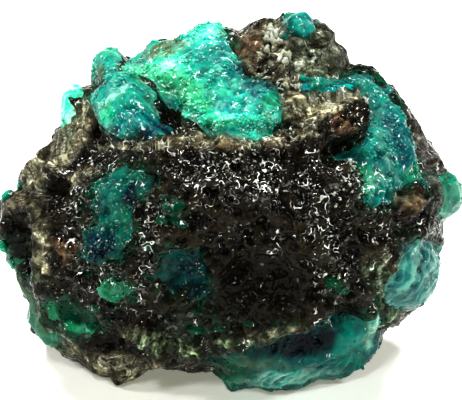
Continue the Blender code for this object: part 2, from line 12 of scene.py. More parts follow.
import bpy
import numpy as np
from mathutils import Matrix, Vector


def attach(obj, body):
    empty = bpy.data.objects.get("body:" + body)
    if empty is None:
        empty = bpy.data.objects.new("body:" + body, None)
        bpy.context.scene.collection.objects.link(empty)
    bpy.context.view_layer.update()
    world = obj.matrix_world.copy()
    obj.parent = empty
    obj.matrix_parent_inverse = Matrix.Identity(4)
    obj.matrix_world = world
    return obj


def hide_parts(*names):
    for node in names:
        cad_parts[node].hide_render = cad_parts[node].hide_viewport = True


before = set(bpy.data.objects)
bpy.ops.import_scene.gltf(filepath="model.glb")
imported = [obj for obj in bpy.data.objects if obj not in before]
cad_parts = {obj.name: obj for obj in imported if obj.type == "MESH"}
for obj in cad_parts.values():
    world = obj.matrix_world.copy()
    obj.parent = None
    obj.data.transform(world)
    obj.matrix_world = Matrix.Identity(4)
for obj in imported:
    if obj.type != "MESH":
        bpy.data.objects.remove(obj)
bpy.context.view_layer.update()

MM = 0.001

# --- the solids' own sizes, in millimetres ---------------------------------------------------
DISPLAY_LEAN = math.radians(28.0)  # the display face looks this far above the horizon
BASE_DROP = 16.3  # from the middle of the lump down to the flat break that it rests on
MIDDLE = (0.03, -0.74)  # where the middle of the lump stands, along X and Y
MEAN_RADIUS = 18.5  # of the lump, to turn a spacing into an angle
BREAK_ROUNDING = 9.0  # higher makes the edges between the broken faces sharper
RIM_BAND = 0.30  # half width of the band that carries the outline's teeth, as a share of a radius
TOOTH_WIDTH = math.radians(16.0)  # the outline's teeth are what differs from its mean over this
FACING_BAND = (-2.5, 0.5)  # a feature of one side fades out over this much depth round the rim
PIT_FLOOR, PIT_EDGE = 0.45, 1.15  # a pit is level inside the first share of its size
RIDGE_FOOT = 1.6  # a ridge runs out at this many half widths

SEAM_GAP = 0.3  # between the rock and each growth
GROWTH_EDGE = 0.35  # thickness of a growth where it ends
GROWTH_RISE = 1.8  # how far inside its outline a growth reaches its full thickness
WRAP = 2.2  # a growth that passes the outline ends this far round the edge

GRAIN = ((6.5, 0.55, 11), (3.4, 0.22, 12))  # broad grain: wavelength, height, seed
CRAG_WAVELENGTH, CRAG_HEIGHT, CRAG_SEED = 4.2, 2.0, 13  # sharp crests on the bare rock
CRAG_LEVEL = 0.22  # the mean height of the crests, taken off again
RIM_CALM = 0.55  # the share of the grain that is held back at the outline

FRONT, BACK = 1, -1

# The lump's outline as displayed, anticlockwise from its right end: across, up.
OUTLINE = (
    (23.2, 0.6), (23.1, 2.1), (21.3, 3.7), (19.8, 6.1), (17.9, 8.9), (16.5, 11.2), (16.2, 11.5),
    (13.9, 13.7), (11.9, 13.9), (11.3, 15.6), (10.4, 16.5), (10.6, 17.3), (8.9, 18.2),
    (7.3, 19.3), (5.3, 19.3), (4.7, 18.4), (2.6, 18.4), (1.0, 17.3), (-0.5, 17.7),
    (-1.3, 18.1), (-2.4, 18.0), (-3.4, 17.7), (-4.3, 17.0), (-5.3, 16.5), (-6.8, 16.4),
    (-8.1, 15.9), (-9.3, 14.6), (-10.3, 14.5), (-11.2, 15.5), (-12.0, 15.8), (-13.0, 14.9),
    (-13.6, 14.0), (-13.7, 12.0), (-14.2, 11.7), (-15.3, 11.8), (-15.8, 10.5), (-16.4, 9.6),
    (-16.4, 8.3), (-17.7, 6.5), (-18.7, 4.7), (-19.8, 4.1), (-20.3, 3.4), (-20.9, 1.5),
    (-22.1, 1.1), (-23.1, 0.0), (-23.2, -1.8), (-23.1, -3.4), (-22.7, -4.4), (-22.1, -5.4),
    (-21.4, -6.6), (-20.8, -8.3), (-20.3, -9.8), (-20.1, -11.6), (-19.3, -12.8),
    (-18.3, -13.8), (-17.4, -14.2), (-15.6, -15.3), (-13.9, -16.4), (-12.8, -17.0),
    (-11.7, -17.2), (-11.2, -17.9), (-9.4, -17.2), (-8.0, -16.3), (-5.3, -16.4),
    (-3.9, -16.7), (-1.9, -16.7), (-0.9, -17.2), (0.1, -18.5), (1.4, -18.1), (2.8, -18.1),
    (3.6, -18.5), (5.0, -18.6), (6.4, -18.4), (7.8, -17.9), (8.9, -17.4), (11.0, -17.3),
    (11.9, -16.9), (13.1, -16.0), (14.2, -15.0), (14.8, -13.6), (15.1, -12.5),
    (15.7, -12.2), (16.6, -11.9), (17.3, -11.1), (18.4, -10.4), (19.4, -9.7), (19.7, -8.9),
    (19.8, -7.7), (20.7, -6.3), (20.6, -4.9), (21.4, -3.8), (21.2, -2.4), (21.3, -1.7),
    (22.5, -0.8),
)

# The broken faces that bound the lump: which way each looks (across, up, out), and how far
# it stands from the middle.
BREAKS = (
    ((0.00, 0.62, 0.78), 13.7),  # top
    ((0.05, -0.30, 0.95), 14.2),  # display face
    ((0.75, 0.35, 0.55), 16.6),  # right shoulder
    ((-0.75, 0.15, 0.60), 16.0),  # left face
    ((0.10, -0.85, 0.50), 15.2),  # undercut below the display face
    ((0.62, -0.58, 0.50), 16.6),  # lower right
    ((-0.55, -0.65, 0.50), 16.8),  # lower left
    ((-0.50, 0.65, 0.55), 15.4),  # upper left
    ((1.00, 0.00, 0.00), 23.0),  # right end
    ((-1.00, 0.00, -0.10), 23.0),  # left end
    ((0.00, 1.00, -0.15), 18.2),  # top edge
    ((0.00, -1.00, 0.00), 18.4),  # bottom edge
    ((0.05, 0.62, -0.78), 15.6),  # back, upper
    ((-0.60, 0.15, -0.78), 16.2),  # back, left
    ((0.62, 0.00, -0.78), 17.0),  # back, right
    ((0.00, -0.15, -0.99), 16.4),  # back, lower
)

# Lumps (height above 0) and pits (below 0): side, across, up, half length, half width,
# turn in degrees, height.
SWELLS = (
    (FRONT, -9.4, 9.2, 3.8, 3.3, 20, 2.4),  # drusy dome, upper left
    (FRONT, -11.9, 13.6, 1.7, 1.5, 90, 1.2),  # knob on the left of the top edge
    (FRONT, -15.6, 9.8, 1.9, 1.0, 65, 0.8),  # small growth on the left edge
    (FRONT, -2.5, 13.5, 5.0, 2.6, 20, 0.8),  # top growth
    (FRONT, 3.4, 9.4, 3.2, 2.2, -10, 0.5),  # top growth, right half
    (FRONT, 6.7, 17.4, 1.7, 1.4, 0, 1.0),  # ball on the summit
    (FRONT, 11.3, 8.2, 2.0, 2.0, 0, 2.4),  # brown knob, upper right
    (FRONT, 14.6, 6.4, 4.2, 2.6, -60, 0.9),  # right flank
    (FRONT, 17.8, 0.2, 1.6, 1.1, 20, 0.8),  # brown lump at the right end
    (FRONT, 18.2, -6.8, 3.6, 2.2, 70, 1.1),  # growth, lower right
    (FRONT, 8.6, -10.3, 1.6, 1.4, 30, 1.3),  # dark knob, lower right
    (FRONT, 10.6, -7.4, 1.3, 1.2, 0, 0.8),
    (FRONT, -11.2, -8.2, 1.5, 1.4, 30, 1.1),  # green chip
    (FRONT, -5.5, -0.4, 1.2, 1.0, 0, 0.7),
    (FRONT, -11.0, 1.4, 2.0, 1.7, 40, 0.8),  # left pocket, upper lump
    (FRONT, -12.8, -4.2, 1.7, 1.4, 0, 0.8),  # left pocket, lower lump
    (FRONT, 1.5, 2.2, 4.5, 2.2, -5, 0.7),  # rock under the brow
    (FRONT, -17.2, -5.8, 1.5, 2.4, 20, 0.6),
    (FRONT, 4.0, -16.6, 4.0, 1.4, 5, 0.5),  # rolled rim, bottom
    (FRONT, -7.0, -14.2, 3.6, 1.2, -25, 0.9),  # spur, bottom left
    (FRONT, -20.6, -3.9, 1.5, 3.1, 14, -3.6),  # black hollow at the left end
    (FRONT, -17.5, 0.6, 1.3, 2.5, -32, -2.0),  # hollow beside it
    (FRONT, -13.1, 7.2, 1.0, 1.3, -20, -1.6),  # dark slot under the dome
    (FRONT, -6.3, 8.4, 1.5, 2.0, 25, -2.2),  # slot between dome and top growth
    (FRONT, 3.6, 13.2, 1.5, 1.0, -25, -1.5),  # hollow behind the top growth
    (FRONT, 10.6, 5.3, 2.0, 1.2, 20, -1.6),  # shadow under the brown knob
    (FRONT, -4.6, -6.8, 2.9, 2.6, -35, -1.5),  # centre pocket
    (FRONT, 2.6, -7.4, 4.6, 3.0, 0, -1.3),  # bare hollow of the display face
    (FRONT, -15.2, -11.2, 3.2, 1.5, -22, -1.5),  # bowl, lower left
    (FRONT, -12.6, -14.0, 1.8, 0.9, -10, -1.4),  # dark undercut below the bowl
    (FRONT, 11.4, -11.2, 1.5, 1.6, 0, -1.4),  # dark corner, lower right
    (FRONT, 7.2, -13.6, 3.8, 1.6, 8, -1.2),  # hollow of the underside growth
    (BACK, -12.0, 6.0, 4.5, 3.2, 25, 0.9),
    (BACK, 9.0, 8.5, 4.2, 3.0, -30, 1.0),
    (BACK, 1.0, -2.0, 4.8, 3.6, 10, 0.8),
    (BACK, -3.5, 9.5, 2.6, 2.0, 40, -1.7),
    (BACK, 14.0, -1.0, 2.8, 2.2, 65, -1.6),
    (BACK, -14.5, -2.5, 2.5, 2.0, -40, -1.5),
    (BACK, 5.0, 3.0, 2.2, 1.7, 0, -1.2),
)

# Raised ridges of rock: side, half width, height, then the line that each follows.
RIDGES = (
    (FRONT, 1.0, 0.9, ((-13.0, 6.5), (-10.0, 5.8), (-6.0, 6.2), (-2.5, 5.5), (1.0, 5.9),
                       (4.5, 5.5), (7.0, 6.5), (9.0, 8.0), (10.0, 9.3))),  # brow
    (FRONT, 0.9, 0.9, ((-16.4, 4.0), (-18.2, 2.5), (-19.0, 1.0), (-18.9, -1.0), (-18.5, -2.3),
                       (-18.6, -5.7), (-18.2, -8.5))),  # crest between the left hollows
    (FRONT, 1.1, 0.6, ((-13.5, 10.5), (-15.5, 7.5), (-18.0, 5.0), (-20.5, 2.0))),
    (FRONT, 0.9, 0.7, ((13.0, 11.5), (15.5, 9.0), (16.5, 5.0), (18.0, 1.8), (19.5, 0.5))),
    (FRONT, 0.9, 0.9, ((19.0, -2.0), (16.0, -4.0), (14.2, -6.5), (13.2, -9.5), (13.6, -11.5))),
    (FRONT, 0.9, 0.8, ((-9.5, -12.0), (-5.5, -14.2), (0.0, -13.4), (4.0, -12.3), (7.5, -11.7))),
    (FRONT, 0.8, 0.7, ((6.5, 10.8), (9.5, 10.9), (12.5, 11.2))),  # flesh-coloured band
    (FRONT, 0.9, 0.7, ((0.3, 16.0), (2.5, 15.0), (5.5, 13.5), (8.5, 12.8))),
    (BACK, 1.2, 0.8, ((-15.0, 10.0), (-8.0, 7.0), (-1.0, 6.0), (6.0, 8.0), (12.0, 5.0))),
    (BACK, 1.2, 0.8, ((-17.0, -6.0), (-9.0, -5.0), (-2.0, -8.0), (7.0, -6.0), (15.0, -8.0))),
)

# Growths of chrysocolla: side, thickness, how far the middle stands proud, and the outline.
GROWTHS = {
    "top_growth": (FRONT, 1.6, 0.5, (
        (-10.6, 14.3), (-9.0, 15.3), (-8.0, 16.4), (-5.2, 17.0), (-3.4, 18.2), (-1.3, 18.8),
        (-0.4, 17.5), (-0.3, 16.1), (0.6, 14.9), (1.1, 13.3), (2.5, 12.3), (4.7, 11.5),
        (5.1, 10.1), (4.7, 9.1), (5.0, 8.1), (3.8, 6.6), (2.4, 6.0), (1.0, 6.2), (-1.4, 6.9),
        (-3.2, 7.9), (-4.4, 8.5), (-5.0, 9.4), (-6.2, 9.7), (-7.3, 11.3), (-8.4, 12.3),
        (-10.0, 12.1), (-10.8, 13.1))),
    "dome_growth": (FRONT, 1.8, 0.4, (
        (-13.0, 10.9), (-11.8, 11.3), (-9.7, 12.3), (-8.5, 12.1), (-7.7, 11.4), (-6.8, 10.6),
        (-7.1, 9.5), (-6.9, 8.2), (-6.0, 7.3), (-6.2, 6.6), (-7.4, 6.1), (-9.1, 6.1),
        (-10.9, 6.2), (-11.7, 7.3), (-12.6, 8.6), (-13.3, 9.7))),
    "edge_knob": (FRONT, 1.4, 0.3, (
        (-13.0, 15.5), (-12.0, 16.5), (-11.0, 16.4), (-10.7, 15.0), (-10.9, 13.1),
        (-10.8, 12.4), (-12.0, 11.8), (-13.2, 11.8), (-14.2, 12.6), (-14.2, 14.4))),
    "left_edge_growth": (FRONT, 0.9, 0.3, (
        (-14.7, 11.9), (-14.2, 11.0), (-15.0, 10.0), (-15.2, 8.6), (-15.8, 7.7), (-17.2, 7.9),
        (-17.4, 9.8), (-16.6, 11.2), (-15.6, 12.4))),
    "left_pocket_growth": (FRONT, 1.2, 0.0, (
        (-11.6, 3.4), (-10.2, 3.7), (-8.6, 3.5), (-7.8, 2.9), (-8.1, 1.9), (-9.0, 0.5),
        (-9.4, -0.9), (-9.3, -2.5), (-9.8, -3.8), (-10.6, -5.1), (-12.4, -5.8), (-13.6, -5.4),
        (-14.4, -4.5), (-14.7, -3.3), (-14.5, -2.5), (-13.1, -1.9), (-13.4, -0.8),
        (-14.2, -0.1), (-13.3, 0.7), (-12.9, 1.7), (-12.3, 2.7))),
    "centre_pocket_growth": (FRONT, 1.1, -0.2, (
        (-6.8, -4.9), (-5.4, -4.4), (-3.5, -4.6), (-3.0, -6.1), (-2.1, -7.6), (-2.1, -9.1),
        (-3.1, -9.8), (-4.6, -9.2), (-6.4, -8.5), (-7.3, -7.0))),
    "green_chip": (FRONT, 1.2, 0.3, (
        (-12.3, -7.1), (-11.2, -6.6), (-9.9, -7.4), (-9.6, -8.5), (-10.4, -9.2), (-11.1, -9.9),
        (-11.8, -8.9), (-12.4, -8.0))),
    "bowl_growth": (FRONT, 1.0, 0.0, (
        (-18.8, -10.3), (-18.1, -9.4), (-17.0, -9.7), (-15.8, -10.3), (-13.8, -11.0),
        (-12.6, -12.0), (-12.9, -12.8), (-14.2, -13.2), (-15.3, -13.3), (-16.4, -12.7),
        (-17.6, -12.1), (-18.4, -11.3))),
    "underside_growth": (FRONT, 1.3, 0.2, (
        (-2.4, -14.7), (-0.2, -14.2), (3.2, -13.1), (4.6, -12.4), (7.2, -11.9), (9.6, -11.8),
        (11.4, -11.7), (13.0, -10.7), (14.4, -9.7), (15.2, -11.3), (15.1, -12.8),
        (15.6, -14.5), (14.4, -16.5), (12.0, -18.5), (9.0, -18.5), (6.5, -19.5), (3.2, -19.5),
        (0.2, -19.5), (-1.0, -17.5), (-2.2, -16.1))),
    "lower_right_growth": (FRONT, 1.4, 0.4, (
        (16.2, -3.9), (17.8, -3.1), (19.8, -3.4), (21.8, -4.3), (22.0, -6.3), (21.2, -7.7),
        (21.0, -9.1), (18.6, -10.9), (16.4, -10.5), (15.5, -9.6), (14.9, -8.2), (15.3, -6.5),
        (15.7, -5.0))),
    "right_flank_growth": (FRONT, 1.5, 0.4, (
        (7.1, 12.3), (8.7, 12.6), (11.0, 12.5), (12.2, 13.4), (13.8, 12.8), (15.8, 11.9),
        (16.6, 10.1), (17.2, 8.4), (17.5, 6.7), (18.0, 5.1), (19.1, 3.5), (19.3, 1.3),
        (18.4, 2.1), (16.8, 2.4), (16.4, 0.8), (15.7, 0.1), (14.1, -0.3), (12.8, 0.2),
        (12.6, 1.3), (13.6, 2.9), (13.0, 3.9), (11.8, 4.8), (10.9, 5.1), (11.8, 5.9),
        (13.0, 6.4), (13.2, 8.3), (13.5, 9.7), (12.7, 10.8), (11.0, 11.3), (9.6, 11.1),
        (7.5, 10.8))),
    "right_end_knob": (FRONT, 1.3, 0.3, (
        (20.9, 2.9), (22.2, 3.6), (24.0, 2.8), (24.2, -0.2), (22.8, -1.4), (21.4, -1.8),
        (20.8, -0.9), (21.4, 0.6))),
    "summit_ball": (FRONT, 1.2, 0.3, (
        (5.1, 18.3), (5.5, 19.6), (6.6, 20.0), (8.0, 19.8), (8.5, 18.4), (8.0, 17.4),
        (6.6, 16.7), (5.5, 17.2))),
    "left_rim_growth": (FRONT, 0.7, 0.1, (
        (-22.4, -3.6), (-21.6, -5.6), (-20.7, -8.0), (-19.9, -9.6), (-19.3, -11.0),
        (-18.1, -12.6), (-16.9, -13.7), (-17.4, -15.4), (-19.6, -14.6), (-21.5, -12.0),
        (-22.4, -8.0), (-24.0, -4.6), (-24.0, -3.0))),
    "back_crest_growth": (BACK, 1.4, 0.4, (
        (-13.5, 9.5), (-9.0, 11.5), (-5.5, 9.0), (-6.5, 5.5), (-10.0, 3.0), (-14.0, 3.5),
        (-16.0, 6.5))),
    "back_right_growth": (BACK, 1.4, 0.3, (
        (6.0, 10.5), (10.5, 11.5), (13.5, 8.5), (12.5, 5.0), (9.0, 4.0), (6.5, 6.5))),
    "back_pocket_growth": (BACK, 1.1, -0.2, (
        (-4.5, 0.5), (-1.0, 2.5), (3.0, 1.5), (5.5, -1.5), (3.5, -4.5), (-1.0, -5.5),
        (-4.5, -3.5))),
    "back_corner_growth": (BACK, 1.2, 0.3, (
        (10.5, -8.5), (14.5, -6.5), (17.0, -8.5), (15.0, -11.5), (11.5, -12.0))),
}

CAMERA_DISTANCE = 600.0  # from the middle of the lump
CAMERA_TARGET = (0.1, 0.5)  # across, up
SENSOR_WIDTH = 36.0
FRAME_WIDTH = 46.2  # what the camera sees at the middle of the lump

FLOOR_WIDTH = 1.2  # in metres, as all that belongs to the lamps
WORLD_STRENGTH = 0.08
LAMP_DISTANCE = 0.4
LAMP_TARGET = np.array([0.0, 0.0, 0.016])
CONTRAST = 0.82  # the display gamma: below 1 deepens the shadows
# Soft square lamps round the specimen: direction from it, size in metres, watts.
LAMPS = (
    ("back_left_lamp", (-0.6, 0.6, 1.0), 0.06, 1.2),
    ("back_right_lamp", (0.6, 0.6, 1.0), 0.06, 1.2),
    ("top_lamp", (0.0, 0.1, 1.0), 0.06, 1.0), ("left_lamp", (-1.0, -0.2, 0.8), 0.055, 0.8),
    ("right_lamp", (1.0, -0.2, 0.8), 0.055, 0.8), ("front_lamp", (-0.2, -1.0, 1.0), 0.055, 0.7),
)

# Small lumps of chrysocolla: side, across, up, half length, half width, turn, tone, light.
# Light is their brightness, partly their own and partly painted light and shade.
LUMPS = (
    (FRONT, -6.2, 7.3, 0.75, 0.70, 0, 0.88, 0.6), (FRONT, -5.3, -0.2, 1.0, 0.6, 30, 0.15, 0.10),
    (FRONT, -6.2, 0.7, 0.7, 0.4, 0, 0.25, 0.08), (FRONT, -4.9, -1.8, 1.0, 0.5, -30, 0.20, 0.11),
    (FRONT, -6.7, -1.5, 0.7, 0.5, 0, 0.15, 0.14), (FRONT, 6.75, 17.4, 1.6, 1.1, 0, 0.60, 0.66),
    (FRONT, 9.7, -10.8, 1.2, 0.4, 35, 0.55, 0.5), (FRONT, 10.3, -7.6, 1.0, 0.7, 0, 0.02, 0.18),
    (FRONT, 11.1, -8.5, 0.8, 0.5, 0, 0.15, 0.16), (FRONT, -22.3, 0.9, 0.8, 0.6, 20, 0.25, 0.6),
    (FRONT, -20.8, 2.0, 0.5, 0.4, 40, 0.3, 0.5), (FRONT, -22.6, -4.1, 0.8, 0.5, 70, 0.25, 0.6),
    (FRONT, -22.0, -5.4, 0.7, 0.4, 60, 0.25, 0.6), (FRONT, -19.6, -7.5, 0.7, 0.4, 60, 0.20, 0.4),
    (FRONT, -13.4, -10.2, 0.9, 0.5, 20, 0.15, 0.15),
    (FRONT, -1.0, -12.0, 0.9, 0.45, 10, 0.10, 0.12), (FRONT, 1.8, -11.6, 0.8, 0.4, 0, 0.15, 0.10),
    (FRONT, -3.4, -12.4, 1.0, 0.5, -10, 0.12, 0.16), (FRONT, 6.9, 12.6, 0.7, 0.4, 0, 0.45, 0.6),
    (BACK, 4.0, 5.5, 0.9, 0.7, 20, 0.3, 0.4), (BACK, -9.0, -3.0, 0.9, 0.7, 60, 0.6, 0.4),
    (BACK, 12.0, -4.0, 0.8, 0.7, 0, 0.2, 0.4), (BACK, -4.0, -9.0, 0.9, 0.6, 0, 0.4, 0.4),
)
LUMP_GRID = 14  # squares along each side of a lump's two grids
LUMP_DRUSE = 0.8
LUMP_KNOBBLES = 0.22  # how uneven a lump is, as a share of its size
CLUSTER_LEAN = 0.45  # how much the points of a group lean at random

# Groups of quartz points: across, up, reach, how many, width.
CLUSTERS = (
    (4.1, 16.4, 0.9, 18, 0.54), (3.3, 15.4, 0.6, 8, 0.40), (5.5, 14.6, 0.5, 8, 0.54),
    (7.1, 13.6, 0.5, 6, 0.50), (3.6, 13.4, 0.9, 20, 0.24), (6.6, 11.6, 0.5, 10, 0.30),
    (5.0, 11.8, 0.5, 10, 0.26), (8.6, 10.0, 1.2, 16, 0.24), (13.3, 10.2, 0.5, 12, 0.30),
    (4.9, 6.6, 1.6, 26, 0.24), (-0.5, 6.4, 3.6, 60, 0.20), (-4.6, 7.0, 1.2, 24, 0.22),
    (11.4, 1.2, 1.6, 22, 0.26), (12.0, 3.6, 0.8, 12, 0.26), (10.6, -6.8, 0.9, 14, 0.24),
)

# --- sizes of the fine form ------------------------------------------------------------------
ROCK_GRID = 222  # squares along each side of the rock's two grids
GRID_PULL = 0.12  # how much closer its lines stand in the middle
FRONT_PULL = 0.24  # how far they are drawn forward, for smaller squares on the display side
GROWTH_SPACING = {FRONT: 0.12, BACK: 0.17}  # between the grid points of a growth
CRYSTAL_SIZE = 0.30  # width of a quartz point
CRYSTAL_LEAN = 0.35  # how much the points lean at random
CRYSTAL_CORNERS = 14  # of one point: two rings of six, the tip and the root
CRYSTAL_CHANCE = 0.17  # that one stands on a grid point, in the middle of the druse

ROCK_GLOSS = 0.45  # outside the patches
CRUST_BUMP = 0.30  # how deep the material's fine cracks in the crust are
CREASE_SCALE, CURL_DRIFT_SCALE = 0.54, 0.35  # of the grains' creases and curls, to the grains' own
CURL_SHARPNESS = 75.0
BEAD_LEVEL = 0.6  # the mean height of beads, taken off again
RIM_DETAIL = 0.55  # the share of the rock's detail that is held back at the outline
GROWTH_RIM_DETAIL = 0.6  # the same for a growth
SKIN_EDGE = -0.45  # a growth's skin reaches this far past its outline
DUCK = 0.55  # and ends this far under the rock

# How uneven an outline is, where a growth is too small for the full waves.
WAVINESS = {"summit_ball": 0.15, "right_end_knob": 0.5, "green_chip": 0.6, "edge_knob": 0.6}

# How far in from its outline a growth is dark, where it sits in a pocket.
EDGE_WIDTH = {"left_pocket_growth": 1.5, "centre_pocket_growth": 1.7, "bowl_growth": 0.5}

# What a growth's surface is like before its patches: tone runs from emerald (0) through sea
# green, turquoise and teal to deep blue (1); light is its brightness, partly its own and partly
# painted light and shade; pale is the share of chalky mint; druse is how much of it is covered
# with tiny crystals.
GROWTH_LOOKS = {
    "top_growth": (0.42, 1.05, 0.08, 0.9),
    "dome_growth": (0.52, 0.62, 0.0, 0.9),
    "edge_knob": (0.42, 0.9, 0.2, 0.8),
    "left_edge_growth": (0.30, 2.1, 0.8, 0.4),
    "left_pocket_growth": (0.50, 0.27, 0.0, 0.8),
    "centre_pocket_growth": (0.78, 0.22, 0.0, 0.5),
    "green_chip": (0.22, 0.37, 0.0, 0.9),
    "bowl_growth": (0.10, 0.12, 0.0, 0.5),
    "underside_growth": (0.60, 0.36, 0.0, 0.2),
    "lower_right_growth": (0.72, 0.62, 0.55, 0.3),
    "right_flank_growth": (0.56, 0.46, 0.0, 0.75),
    "right_end_knob": (0.30, 0.55, 0.35, 0.2),
    "summit_ball": (0.56, 0.66, 0.0, 0.2),
    "left_rim_growth": (0.30, 0.42, 0.5, 0.1),
    "back_crest_growth": (0.42, 0.8, 0.1, 0.8),
    "back_right_growth": (0.58, 0.7, 0.0, 0.7),
    "back_pocket_growth": (0.72, 0.5, 0.0, 0.7),
    "back_corner_growth": (0.28, 0.6, 0.1, 0.5),
}

